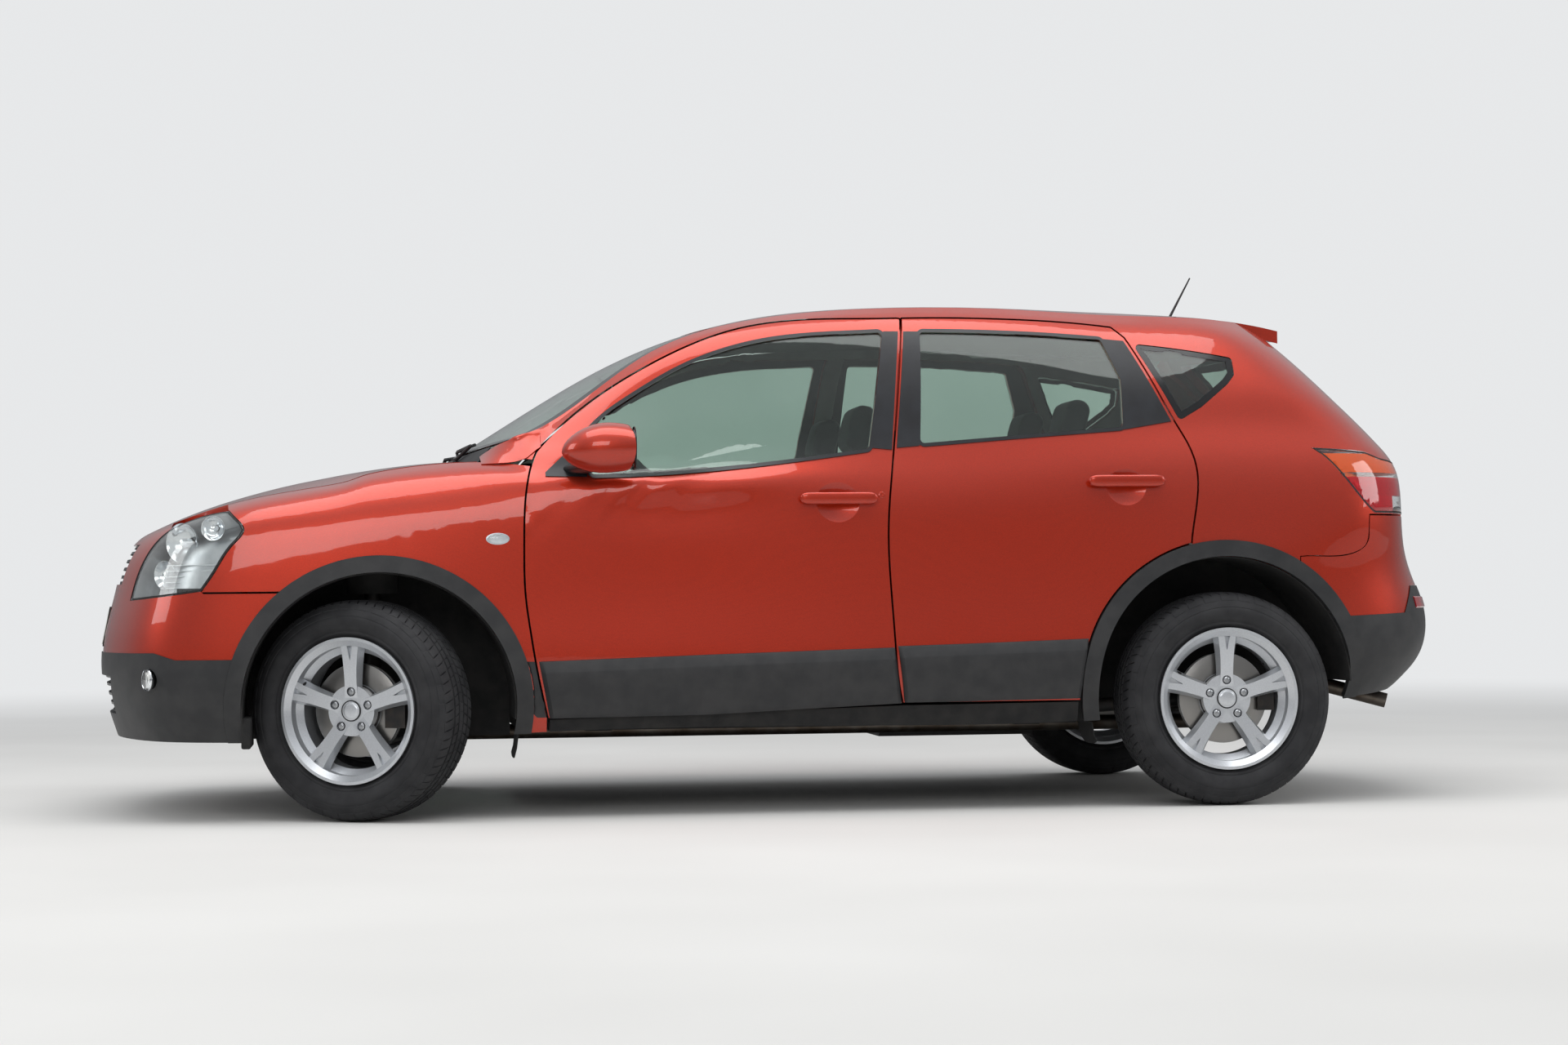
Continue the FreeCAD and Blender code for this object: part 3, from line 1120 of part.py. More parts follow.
def front_suspension():
    frame = FRONT_FRAME
    cross = block("front_cross_member", (front_axle + frame["x"] - 40, frame["y"], frame["z"]), frame["length"],
                  frame["width"], frame["height"])
    pieces = [cross]
    low_z, high_z = hub_height - rise, hub_height + rise
    for sign in (-1, 1):
        tag = "%d" % (sign + 1)
        for z, name in ((low_z, "lower"), (high_z, "upper")):
            cup = cut(name + "_cup_" + tag, rod(name + "_cup_outer_" + tag, (front_axle, sign * pin_y, z - 14),
                                                (front_axle, sign * pin_y, z + 14), size("ball_radius") + 10),
                      ball(name + "_cup_inner_" + tag, (front_axle, sign * pin_y, z), "sizes.ball_radius + 0.4"))
            hole = rod(name + "_cup_hole_" + tag, (front_axle, sign * pin_y, hub_height),
                       (front_axle, sign * pin_y, z), 15)
            pieces.append(cut(name + "_cup_open_" + tag, cup, hole))
        for spread in (-ARM_SPREAD, ARM_SPREAD):
            direction = Vector(spread, -sign * (pin_y - 380), frame["z"] + 28 - low_z)
            start = Vector(front_axle, sign * pin_y, low_z)
            start += direction * ((size("ball_radius") + 6) / direction.Length)
            pieces.append(rod("lower_arm_%s_%d" % (tag, spread > 0), start,
                              (front_axle + spread, sign * 380, frame["z"] + 28), 11))
        pieces.append(rod("strut_foot_" + tag, (front_axle, sign * (pin_y - size("ball_radius") - 6), high_z),
                          (front_axle, sign * strut_y, high_z), 10))
        pieces.append(rod("strut_" + tag, (front_axle, sign * strut_y, high_z - 20),
                          (front_axle, sign * strut_y, STRUT_TOP), "sizes.strut_radius"))
        pieces.append(rod("spring_" + tag, (front_axle, sign * strut_y, 700),
                          (front_axle, sign * strut_y, STRUT_TOP - 20), "sizes.spring_radius"))
    return fuse("front_suspension", *pieces)


STRUT_TOP = stretch_z(930)
strut_y = size("track_front") / 2 - size("strut_inset")
engine_x = size("engine_front") - size("engine_length")
front_suspension()

# Rear suspension: hub carriers on trailing arms and links, with springs and dampers

LINK_SPAN = 330


def rear_suspension():
    hub_y = size("track_rear") / 2
    pieces = [block("rear_cross_member", (rear_axle - 70, -LINK_SPAN, 270), 140, 2 * LINK_SPAN, 60)]
    for sign in (-1, 1):
        tag = "%d" % (sign + 1)
        pieces.append(rod("rear_hub_" + tag, (rear_axle, sign * (hub_y - 90), hub_height),
                          (rear_axle, sign * (hub_y + hub_face), hub_height), "sizes.bearing_radius"))
        for x, z in ((rear_axle - 50, 290), (rear_axle + 50, 290)):
            pieces.append(rod("rear_link_%s_%d" % (tag, x > rear_axle), (x, sign * (LINK_SPAN - 10), z),
                              (rear_axle, sign * (hub_y - 80), hub_height - 20), 15))
        pieces.append(rod("trailing_arm_" + tag, (rear_axle, sign * (hub_y - 80), hub_height),
                          (rear_axle + 410, sign * 560, 300), 22))
        spring_x, spring_y = rear_axle + 60, sign * 350
        pieces.append(rod("rear_spring_" + tag, (spring_x, spring_y, 285),
                          (spring_x, spring_y, size("boot_floor_height") - size("seat_gap")), 52))
        pieces.append(rod("rear_spring_seat_" + tag, (spring_x, spring_y, 278), (spring_x, spring_y, 290), 62))
        damper_foot = (rear_axle - 60, sign * 570, 290)
        pieces.append(rod("rear_damper_" + tag, damper_foot, (rear_axle - 100, sign * 505, 552), 24))
        pieces.append(rod("rear_damper_eye_" + tag, damper_foot, (rear_axle, sign * 640, 315), 14))
        disc_edge = size("disc_radius")
        carrier = block("rear_calliper_body_" + tag,
                        (rear_axle - disc_edge - 20, sign * (hub_y + 12) - 26, hub_height - 40), 52, 52, 80)
        slot = rod("rear_calliper_slot_" + tag, (rear_axle, sign * (hub_y - CALLIPER_GAP), hub_height),
                   (rear_axle, sign * (hub_y + size("disc_wall") + CALLIPER_GAP), hub_height),
                   disc_edge + CALLIPER_GAP)
        pieces.append(cut("rear_calliper_" + tag, carrier, slot))
        pieces.append(rod("rear_bracket_" + tag, (rear_axle, sign * (hub_y - 11), hub_height),
                          (rear_axle - disc_edge - 8, sign * (hub_y - 11), hub_height), 10))
    return fuse("rear_suspension", *pieces)


rear_suspension()

# Underbody: the floor with its sills, pillars with door hinges, firewall, boot floor, and the front frame

FLOOR_FRONT, FLOOR_BACK, BOOT_BACK = 868, -900, -1950
SIGNS = (-1, 1)
RAIL_Y, REAR_RAIL_Y, STAY_Y = 439, 440, 300
STRIP_TOP = [(-300, 324), (-850, 327)]
JACK_PADS, JACK_Y, JACK_PAD_DEPTH = (620, -720), 680, 8
EXHAUST_Y = 170
seat_of = size("seat_gap")
sill_y = size("sill_outer")
floor_z = size("floor_height")
floor_top = floor_z + size("floor_wall")
floor_front, floor_back = stretch_x(FLOOR_FRONT), stretch_x(FLOOR_BACK)
boot_back, boot_z = stretch_x(BOOT_BACK), size("boot_floor_height")
pipe_z = floor_z - size("pipe_radius") - 6
pipe_end = stretch_x(-1700)
SILENCER_Z = 420
DASH_REACH = sill_y - 70.3


def floor_pan():
    """Floor with its tunnel, sills, and the strips that carry the outer skin under the doors."""
    firewall_back = floor_front - size("firewall_wall") - seat_of
    tunnel_back = stretch_x(-380)
    strip_back = stretch_x(-850)
    pieces = [
        block("floor", (floor_back, -sill_y, floor_z), floor_front - floor_back, 2 * sill_y, "sizes.floor_wall"),
        block("tunnel", (tunnel_back, -size("tunnel_width") / 2, floor_z + 20), firewall_back - tunnel_back,
              "sizes.tunnel_width", "sizes.tunnel_height")]
    for sign in SIGNS:
        pieces.append(block("sill_%d" % (sign + 1), (floor_back + 10, sign * (sill_y - 60) - 60, floor_z),
                            floor_front - floor_back - 10, "sizes.sill_width", size("sill_height") - floor_z))
        pieces.append(block("strip_floor_%d" % (sign + 1), (strip_back, sign * (sill_y + 30) - 50, floor_z),
                            stretch_x(778) - strip_back, 100, 24))
        for x in JACK_PADS:
            pieces.append(block("jack_pad_%d_%d" % (sign + 1, x > 0), (stretch_x(x) - 40, sign * JACK_Y - 25,
                                                                       floor_z - JACK_PAD_DEPTH), 80, 50, 12))
    for i, x in enumerate((560, -180)):
        pieces.append(block("pipe_hanger_%d" % i, (stretch_x(x), EXHAUST_Y - 20, floor_z - 6 + seat_of), 30, 40,
                            10))
    strip = common("sill_strip_left", pillar_skin, side_prism("sill_strip_line", [
        [(778, 200), (778, 296)], STRIP_TOP, [(-850, 200)]]))
    return fuse("underbody", *pieces, strip, mirror("sill_strip_right", strip))


HINGE_HEIGHTS = (560, 850)
HINGE_REACH, HINGE_HEIGHT = 57, 60


def door_pillars():
    """Hinge and centre pillars on the sills, each with two door hinges; the centre ones carry the sides."""
    base = size("sill_height") + seat_of
    pillars = []
    for side, wire, x, length, width, top, strap_x, strap_length in (
            ("front", front_door_wire, 800, 72, 70, 1000, 812, 50),
            ("rear", rear_door_wire, -332, 76, 76, 1110, -304, 40)):
        post = block(side + "_post", (stretch_x(x), sill_y - width, base), length, width, stretch_z(top) - base)
        straps = [block("%s_strap_%d" % (side, i), (stretch_x(strap_x), sill_y - 10, stretch_z(height)), strap_length,
                        HINGE_REACH + 10, HINGE_HEIGHT) for i, height in enumerate(HINGE_HEIGHTS)]
        door = prism(side + "_strap_limit", wire(-size("door_margin") + seat_of), 300, 1100)
        pieces = [post, cut(side + "_straps", fuse(side + "_strap_blocks", *straps), door)]
        if side == "rear":
            head = block("pillar_head", (stretch_x(-305), sill_y - 30, stretch_z(1085)), 41, 80, 100)
            pieces.append(cut("pillar_head_cut", head, side_prism("pillar_head_limit", frame_line, seat_of)))
        pillar = fuse(side + "_pillar", *pieces)
        pillars += [pillar, mirror(side + "_pillar_right", pillar)]
    return group("door_pillars", *pillars)


def firewall():
    """Wall before the cabin, narrower between the sills, with the stays that carry the scuttle."""
    wall = size("firewall_wall")
    back_x = floor_front - wall
    low, high = sill_y - size("sill_width") - seat_of, DASH_REACH
    step = size("sill_height") + seat_of
    base = floor_top + seat_of
    pieces = [block("wall_low", (back_x, -low, base), "sizes.firewall_wall", 2 * low, step - base + 5),
              block("wall_high", (back_x, -high, step), "sizes.firewall_wall", 2 * high, stretch_z(960) - step)]
    arm_x = floor_front - 27
    for sign in SIGNS:
        carried = min(under_bonnet, key=lambda p: abs(p.y - sign * STAY_Y))
        y = carried.y
        post_x = carried.x - 8
        pieces.append(rod("scuttle_stay_%d" % (sign + 1), (floor_front - 15, y, stretch_z(950)),
                          (floor_front - 15, y, stretch_z(1010)), 12))
        pieces.append(block("scuttle_arm_%d" % (sign + 1), (arm_x, y - 12, stretch_z(990)), post_x + 12 - arm_x, 24, 20))
        pieces.append(rod("scuttle_post_%d" % (sign + 1), (post_x, y, stretch_z(995)),
                          (post_x, y, carried.z - SCUTTLE_WALL - 0.5), 10))
    return fuse("firewall", *pieces)


def boot_floor():
    """Load floor with the step up to it, the wall behind it, and the rails beneath."""
    pieces = [
        block("load_floor", (boot_back, -465, boot_z), floor_back - boot_back + 20, 930, "sizes.floor_wall"),
        block("kick_up", (floor_back, 130 - sill_y, floor_top + seat_of), 24, 2 * sill_y - 260,
              boot_z + 26 - floor_top - seat_of),
        block("rear_wall", (boot_back - 20, -560, stretch_z(400)), 26, 1120, stretch_z(715) - stretch_z(400))]
    for sign in SIGNS:
        pieces.append(block("rear_rail_%d" % (sign + 1), (boot_back, sign * REAR_RAIL_Y - 25, boot_z - 60),
                            floor_back - boot_back, 50, 62))
    top = SILENCER_Z + size("silencer_radius") + seat_of
    pieces.append(block("silencer_hanger", (pipe_end - 15, EXHAUST_Y - 40, top), 30, 40, boot_z - top + 5))
    return fuse("boot_floor", *pieces)


def front_frame():
    """Rails with the beam and the radiator's frame across them, strut towers, engine mounts, bonnet stops."""
    rail_x = floor_front + seat_of
    pieces = [
        block("front_beam", (stretch_x(1955), -520, stretch_z(520)), 50, 1040, 90),
        block("radiator_frame", (stretch_x(1900), -480, stretch_z(330)), 60, 960, stretch_z(780) - stretch_z(330))]
    stop_x = stretch_x(1925)
    for sign in SIGNS:
        tag = "%d" % (sign + 1)
        pieces.append(block("rail_" + tag, (rail_x, sign * RAIL_Y - 26, 430), stretch_x(1960) - rail_x, 52, 90))
        outer = rod("tower_outer_" + tag, (front_axle, sign * strut_y, stretch_z(680)),
                    (front_axle, sign * strut_y, STRUT_TOP + 12), 78)
        inner = rod("tower_inner_" + tag, (front_axle, sign * strut_y, 0),
                    (front_axle, sign * strut_y, STRUT_TOP + seat_of), 72)
        pieces.append(cut("tower_shell_" + tag, outer, inner))
        web = block("tower_web_" + tag, (front_axle - 30, sign * (strut_y - 120) - 50, 470), 60, 100, 400)
        arch = block("liner_room_" + tag, (front_axle - 40, sign * (size("liner_inner") + 99.5) - 100, 0), 80, 200,
                     hub_height + size("arch_radius") + 12)
        pieces.append(cut("tower_web_cut_" + tag, web, arch))
        pieces.append(block("engine_mount_" + tag, (engine_x + 120, sign * 410 - 9.7, 440), 90, 19.4, 70))
        pieces.append(rod("bonnet_stop_" + tag, (stop_x, sign * STAY_Y, stretch_z(770)),
                          (stop_x, sign * STAY_Y, bonnet_underside(stop_x, STAY_Y) - 4.3), 14))
    return fuse("front_frame", *pieces)


floor_pan()
door_pillars()
firewall()
boot_floor()
front_frame()

# Engine and gearbox in one block, tank, and the exhaust with its silencer

ENGINE_Y = -400
block("engine", (engine_x, ENGINE_Y, size("engine_base")), "sizes.engine_length", "sizes.engine_width",
      "sizes.engine_height")
block("fuel_tank", (stretch_x(-880), -480, floor_z - size("tank_height") - seat_of),
      "sizes.tank_length", "sizes.tank_width", "sizes.tank_height")


def exhaust():
    bend = (stretch_x(-1450), EXHAUST_Y, pipe_z)
    silencer = rod("silencer", (pipe_end, 400 - size("silencer_length"), SILENCER_Z), (pipe_end, 400, SILENCER_Z),
                   "sizes.silencer_radius")
    pipes = [rod("front_pipe", (front_axle - 150, EXHAUST_Y, pipe_z), bend, "sizes.pipe_radius"),
             rod("rear_pipe", bend, (pipe_end, EXHAUST_Y, SILENCER_Z - 30), "sizes.pipe_radius"),
             rod("tail_pipe", (pipe_end, 350, SILENCER_Z - 40), (stretch_x(-1985), 440, 300), "sizes.pipe_radius")]
    joint = ball("pipe_bend", bend, "sizes.pipe_radius")
    return fuse("exhaust", silencer, joint, *pipes)


exhaust()

# Cabin: dashboard with its column, steering wheel, seats

WHEEL_CENTRE = (395, 360, 920)


def column_direction():
    angle = math.radians(size("column_angle"))
    return Vector(math.cos(angle), 0, -math.sin(angle))


def dashboard():
    outline_points = [(837.7, 611), (837.7, 1000), (760, 1030), (560, 985), (500, 900), (520, 780), (600, 620)]
    wire = outline([[point] for point in outline_points], "y")
    shelf = prism("dash_form", rounded(wire, 20), -DASH_REACH, DASH_REACH)
    console = block("console", (stretch_x(-150), -92, size("floor_height") + 140.3), 690, 184, 190)
    stack = block("centre_stack", (stretch_x(500), -92, stretch_z(580)), 240, 184, 70)
    centre = place(*WHEEL_CENTRE)
    direction = column_direction()
    column = rod("column", centre + direction * 55, centre + direction * 260, "sizes.column_radius + 14")
    return fuse("dashboard", shelf, console, stack, column)


def steering_wheel():
    ring = doc.addObject("Part::Torus", "grip_ring")
    bind(ring, Radius1="sizes.wheel_rim_radius", Radius2="sizes.wheel_grip_radius")
    radius = size("wheel_rim_radius")
    pad = rod("wheel_pad", (0, 0, -6), (0, 0, 34), 72)
    spokes = []
    for i, angle in enumerate((15, 165, 270)):
        turn = math.radians(angle)
        spokes.append(rod("wheel_spoke_%d" % i, (0, 0, 8), (radius * math.cos(turn), radius * math.sin(turn), 2), 13))
    stub = rod("wheel_stub", (0, 0, 30), (0, 0, 54.7), 24)
    whole = fuse("steering_wheel", ring, pad, stub, *spokes)
    turn = Rotation(Vector(0, 0, 1), column_direction())
    return moved(whole, Placement(place(*WHEEL_CENTRE), turn))


def seat(name, x, y, width, floor_gap):
    """Cushion, leaning backrest and headrest, with its foot on the floor."""
    base = floor_top + seat_of
    cushion = block(name + "_cushion", (x, y - width / 2, base + floor_gap), "sizes.cushion_length", width,
                    "sizes.cushion_wall")
    foot = block(name + "_foot", (x + 60, y - width / 2 + 50, base), 340, width - 100, floor_gap + 10)
    back = block(name + "_back", (0, -width / 2, 0), "sizes.backrest_wall", width, "sizes.backrest_height")
    head = block(name + "_head", (20, -130, size("backrest_height") + 30), 90, 260, 170)
    posts = block(name + "_posts", (50, -60, size("backrest_height") - 10), 20, 120, 60)
    upper = []
    for part, radius in ((cushion, 40), (back, 45), (head, 35)):
        soft = doc.addObject("Part::Fillet", part.Name + "_soft")
        soft.Base = part
        soft.Edges = [(edge, radius, radius) for edge in range(1, 13)]
        upper.append(soft)
    rest = fuse(name + "_rest", upper[1], upper[2], posts)
    lean = Rotation(Vector(0, 1, 0), -size("backrest_lean"))
    moved(rest, Placement(Vector(x - 60, y, base + floor_gap + 30), lean))
    return fuse(name, upper[0], foot, rest)


dashboard()
steering_wheel()
spread = size("seat_spread")
group("front_seats", seat("seat_left", stretch_x(-70), spread, size("seat_width"), 130),
      seat("seat_right", stretch_x(-70), -spread, size("seat_width"), 130))
group("rear_seat", seat("bench_left", stretch_x(-780), 325, 640, 150),
      seat("bench_right", stretch_x(-780), -325, 640, 150))

# Scuttle with the wipers on it, aerial


def rods_along(name, points, radius):
    """Round bar through the points."""
    bars = [rod("%s_%d" % (name, i), *pair, radius) for i, pair in enumerate(zip(points, points[1:]))]
    knees = [ball("%s_knee_%d" % (name, i), point, radius) for i, point in enumerate(points[1:-1])]
    return bars + knees


def scuttle():
    """Black panel between the bonnet and the windscreen, with both wipers at rest on it."""
    plate = feature("scuttle_plate", slab(scuttle_rows, [[p - Vector(0, 0, SCUTTLE_WALL) for p in row] for row in scuttle_rows]))
    lifted = offset_grid(screen_points, -WIPER_LIFT)
    pieces = [plate]
    for i, (pivot_column, first, last) in enumerate(WIPERS):
        pivot = scuttle_rows[2][pivot_column]
        blade = [lifted[1][column] for column in range(first, last + 1)]
        tip = blade[len(blade) * 2 // 3]
        pieces.append(rod("wiper_pivot_%d" % i, pivot - Vector(0, 0, 3), pivot + Vector(0, 0, 18), 8))
        elbow = lifted[0][(pivot_column + first) // 2] + Vector(0, 0, 8)
        pieces += rods_along("wiper_arm_%d" % i, [pivot + Vector(0, 0, 12), elbow, tip], 6)
        pieces += rods_along("wiper_blade_%d" % i, blade, 5)
    return fuse("scuttle", *pieces)


WIPER_LIFT = 9
WIPERS = ((3, 4, 9), (11, 11, 15))
scuttle()


def tailgate_point(y, z, lift):
    """Place on the tailgate's outer form at a drawn width and height, lifted off it."""
    target = Vector(0, stretch_y(y), stretch_z(z))
    points = (p for column in gate_grid for p in column)
    nearest = min(points, key=lambda p: math.hypot(p.y - target.y, p.z - target.z))
    return Vector(nearest.x - lift, target.y, target.z)


REAR_WIPER = ((0, 1140), (-150, 1190), (-330, 1205))
pivot_y, pivot_z = REAR_WIPER[0]
pivot = rod("rear_wiper_pivot", tailgate_point(pivot_y, pivot_z, -0.5), tailgate_point(pivot_y, pivot_z, 34), 19)
fuse("rear_wiper", pivot,
     *rods_along("rear_wiper_arm", [tailgate_point(y, z, lift) for (y, z), lift in zip(REAR_WIPER, (22, 22, 14))], 6),
     *rods_along("rear_wiper_blade", [tailgate_point(y, 1205, 12) for y in (-140, -240, -340, -440)], 5))


def aerial():
    foot_x = stretch_x(-1385)
    lean = (TOP_PROFILE(foot_x + 19) - TOP_PROFILE(foot_x - 19)) / 38
    foot = Vector(foot_x, 0, TOP_PROFILE(foot_x) + size("seat_gap") + 0.2)
    tip = place(-1468, 0, 1728)
    mast = doc.addObject("Part::Cone", "mast")
    mast.Radius1 = 5
    mast.Radius2 = 2.4
    mast.Height = (tip - foot).Length
    mast.Placement = Placement(foot + Vector(0, 0, 6), Rotation(Vector(0, 0, 1), tip - foot))
    base = rod("aerial_base", foot, foot + Vector(-lean, 0, 1) * 12, 19)
    return fuse("aerial", mast, base)


aerial()

# The pieces handed on: each is checked, and written under its label

PIECES = [door + side + ending for door in ("front_door", "rear_door") for side in ("_left", "_right")
          for ending in ("", "_glass", "_trim")]
PIECES += ["%s_%s_%s" % (piece, end, side) for piece in ("wheel", "tyre") for end, side, _ in wheel_spots]
PIECES += [
    "mirror_left", "mirror_right", "front_wings", "headlamps", "front_bumper", "front_lower_moulding", "grille",
    "bonnet", "scuttle", "windscreen", "roof", "aerial", "body_sides", "quarter_glass", "tail_lamps", "rear_bumper",
    "rear_lower_moulding", "tailgate", "tailgate_glass", "rear_wiper", "arch_mouldings", "wheel_liners",
    "knuckle_left", "knuckle_right", "front_suspension", "rear_suspension", "underbody", "door_pillars", "firewall",
    "boot_floor", "front_frame", "engine", "fuel_tank", "exhaust", "dashboard", "steering_wheel", "front_seats",
    "rear_seat"]

doc.recompute()
for part in doc.Objects:
    if "Invalid" in part.State or "Error" in part.State:
        raise RuntimeError("%s was not built: %s" % (part.Name, part.State))
os.makedirs("parts", exist_ok=True)
for name in PIECES:
    part = doc.getObject(name)
    part.Label = name
    if part.Shape.isNull() or not part.Shape.isValid() or not part.Shape.Solids:
        raise RuntimeError("%s has no sound solid" % name)
    part.Shape.exportStep("parts/%s.step" % part.Label)
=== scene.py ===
"""Crossover SUV: paint, glass, lamps, tyres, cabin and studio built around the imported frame."""
import math
import bmesh
import bpy
from mathutils import Matrix, Vector
from mathutils.bvhtree import BVHTree


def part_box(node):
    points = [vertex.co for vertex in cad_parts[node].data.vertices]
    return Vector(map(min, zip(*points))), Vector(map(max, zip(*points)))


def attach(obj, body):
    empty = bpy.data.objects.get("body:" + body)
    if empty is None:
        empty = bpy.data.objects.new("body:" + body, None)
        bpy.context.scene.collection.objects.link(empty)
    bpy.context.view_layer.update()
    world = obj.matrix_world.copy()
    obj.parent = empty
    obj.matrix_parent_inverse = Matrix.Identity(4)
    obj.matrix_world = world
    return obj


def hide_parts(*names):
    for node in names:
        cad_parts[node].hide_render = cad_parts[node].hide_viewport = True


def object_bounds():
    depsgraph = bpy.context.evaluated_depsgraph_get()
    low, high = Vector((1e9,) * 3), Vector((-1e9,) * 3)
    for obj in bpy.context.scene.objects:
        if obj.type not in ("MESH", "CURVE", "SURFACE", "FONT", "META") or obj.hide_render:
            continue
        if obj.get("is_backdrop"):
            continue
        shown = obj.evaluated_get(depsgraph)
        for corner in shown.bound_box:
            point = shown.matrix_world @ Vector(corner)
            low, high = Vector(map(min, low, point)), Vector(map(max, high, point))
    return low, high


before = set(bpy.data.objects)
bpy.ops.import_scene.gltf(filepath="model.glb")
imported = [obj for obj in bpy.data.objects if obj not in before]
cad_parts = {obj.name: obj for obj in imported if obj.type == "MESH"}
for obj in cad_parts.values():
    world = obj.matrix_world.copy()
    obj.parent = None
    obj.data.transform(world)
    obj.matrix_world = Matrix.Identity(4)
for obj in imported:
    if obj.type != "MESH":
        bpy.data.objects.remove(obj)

bl_info = {
    "name": "Crossover SUV looks",
    "version": (1, 0, 0),
    "blender": (4, 5, 0),
    "location": "View3D > Sidebar > Crossover",
    "description": "Dresses the crossover's solids with paint, glass, lamps, tyres and a cabin",
    "category": "Object",
}

SIDES = (("left", 1), ("right", -1))
CORNERS = [(end, side, sign) for end in ("front", "rear") for side, sign in SIDES]
MM = 0.001

# Places taken from the frame

FRONT_AXLE = 1.305
REAR_AXLE = -1.325
HUB = 0.331
KINGPIN_Y = 0.695
KINGPIN_INSET = 0.075
REAR_TRACK_HALF = 0.775
STEER = math.radians(27)
CAD_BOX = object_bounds()


# Colour and shader helpers

def linear(code):
    """Linear RGBA of an sRGB hex colour."""
    channels = [int(code[i:i + 2], 16) / 255 for i in (1, 3, 5)]
    return [c / 12.92 if c <= 0.04045 else ((c + 0.055) / 1.055) ** 2.4 for c in channels] + [1.0]


def node(tree, kind, values=None, **settings):
    """Adds a node, sets its properties, and gives its inputs a value or a link."""
    made = tree.nodes.new(kind)
    for name, value in settings.items():
        setattr(made, name, value)
    for name, value in (values or {}).items():
        if isinstance(value, bpy.types.NodeSocket):
            tree.links.new(value, made.inputs[name])
        else:
            made.inputs[name].default_value = value
    return made


def material(name, colour, roughness, metallic=0.0, **sockets):
    """A material whose plain values are on its Principled shader's sockets, its tree and the shader."""
    made = bpy.data.materials.new(name)
    made.use_nodes = True
    tree = made.node_tree
    tree.nodes.clear()
    shader = node(tree, "ShaderNodeBsdfPrincipled", {
        "Base Color": linear(colour), "Roughness": roughness, "Metallic": metallic, **sockets})
    node(tree, "ShaderNodeOutputMaterial", {"Surface": shader.outputs[0]})
    made.diffuse_color = linear(colour)
    return made, tree, shader


def coordinates(tree, millimetres):
    """Object coordinates in steps of a real size."""
    place = node(tree, "ShaderNodeTexCoord")
    return node(tree, "ShaderNodeVectorMath", {0: place.outputs["Object"], "Scale": 1000.0 / millimetres},
                operation="SCALE").outputs[0]


def grain(tree, shader, millimetres, depth, detail=3.0):
    """Bump of an even noise whose grains have a real size."""
    pattern = node(tree, "ShaderNodeTexNoise", {
        "Vector": coordinates(tree, millimetres), "Scale": 1.0, "Detail": detail})
    bump = node(tree, "ShaderNodeBump", {
        "Height": pattern.outputs[0], "Distance": depth * MM, "Strength": 1.0})
    tree.links.new(bump.outputs[0], shader.inputs["Normal"])


def mottled(tree, shader, first, second, millimetres, detail=4.0):
    """Two colours mixed by a soft noise of a real size."""
    pattern = node(tree, "ShaderNodeTexNoise", {
        "Vector": coordinates(tree, millimetres), "Scale": 1.0, "Detail": detail})
    spread = node(tree, "ShaderNodeMapRange", {0: pattern.outputs[0], 1: 0.35, 2: 0.65})
    mixed = node(tree, "ShaderNodeMix", {
        0: spread.outputs[0], 6: linear(first), 7: linear(second)}, data_type="RGBA")
    tree.links.new(mixed.outputs[2], shader.inputs["Base Color"])


def worn(tree, shader, low, high, millimetres):
    """Roughness that drifts between two values, as handling and washing leave it."""
    pattern = node(tree, "ShaderNodeTexNoise", {
        "Vector": coordinates(tree, millimetres), "Scale": 1.0, "Detail": 5.0})
    spread = node(tree, "ShaderNodeMapRange", {0: pattern.outputs[0], 1: 0.3, 2: 0.7, 3: low, 4: high})
    tree.links.new(spread.outputs[0], shader.inputs["Roughness"])


# Finishes

def lacquer(name, colour, shade):
    """Metallic basecoat under clear lacquer: flakes tint the light, and the clear coat mirrors the room."""
    made, tree, shader = material(name, colour, 0.38, 0.7, **{
        "Coat Weight": 1.0, "Coat Roughness": 0.03, "Coat IOR": 1.5})
    # Flakes are some 0.03 mm across; they are drawn at 0.7 mm, the least that shows from a few metres
    flakes = node(tree, "ShaderNodeTexVoronoi", {"Vector": coordinates(tree, 0.7), "Scale": 1.0})
    spread = node(tree, "ShaderNodeMapRange", {0: flakes.outputs[1], 1: 0.0, 2: 1.0})
    mixed = node(tree, "ShaderNodeMix", {
        0: spread.outputs[0], 6: linear(colour), 7: linear(shade)}, data_type="RGBA")
    tree.links.new(mixed.outputs[2], shader.inputs["Base Color"])
    # Sprayed lacquer levels into a skin with ripples some 9 mm long
    peel = node(tree, "ShaderNodeTexNoise", {"Vector": coordinates(tree, 9.0), "Scale": 1.0, "Detail": 1.0})
    bump = node(tree, "ShaderNodeBump", {"Height": peel.outputs[0], "Distance": 0.00002, "Strength": 0.5})
    tree.links.new(bump.outputs[0], shader.inputs["Coat Normal"])
    return made


def moulded_plastic(name, colour, dusty, roughness, grain_mm=1.4, depth=0.05):
    """Injection-moulded polypropylene with a spark-eroded grain, greyed by dust and weather."""
    made, tree, shader = material(name, colour, roughness)
    mottled(tree, shader, colour, dusty, 60.0)
    grain(tree, shader, grain_mm, depth)
    return made


def float_glass(name, tint):
    """Tempered float glass, faintly green from its iron, with a polished face."""
    made, tree, shader = material(name, tint, 0.0, **{"Transmission Weight": 1.0, "IOR": 1.5})
    mottled(tree, shader, tint, "#C6D6CE", 900.0, 2.0)
    return made


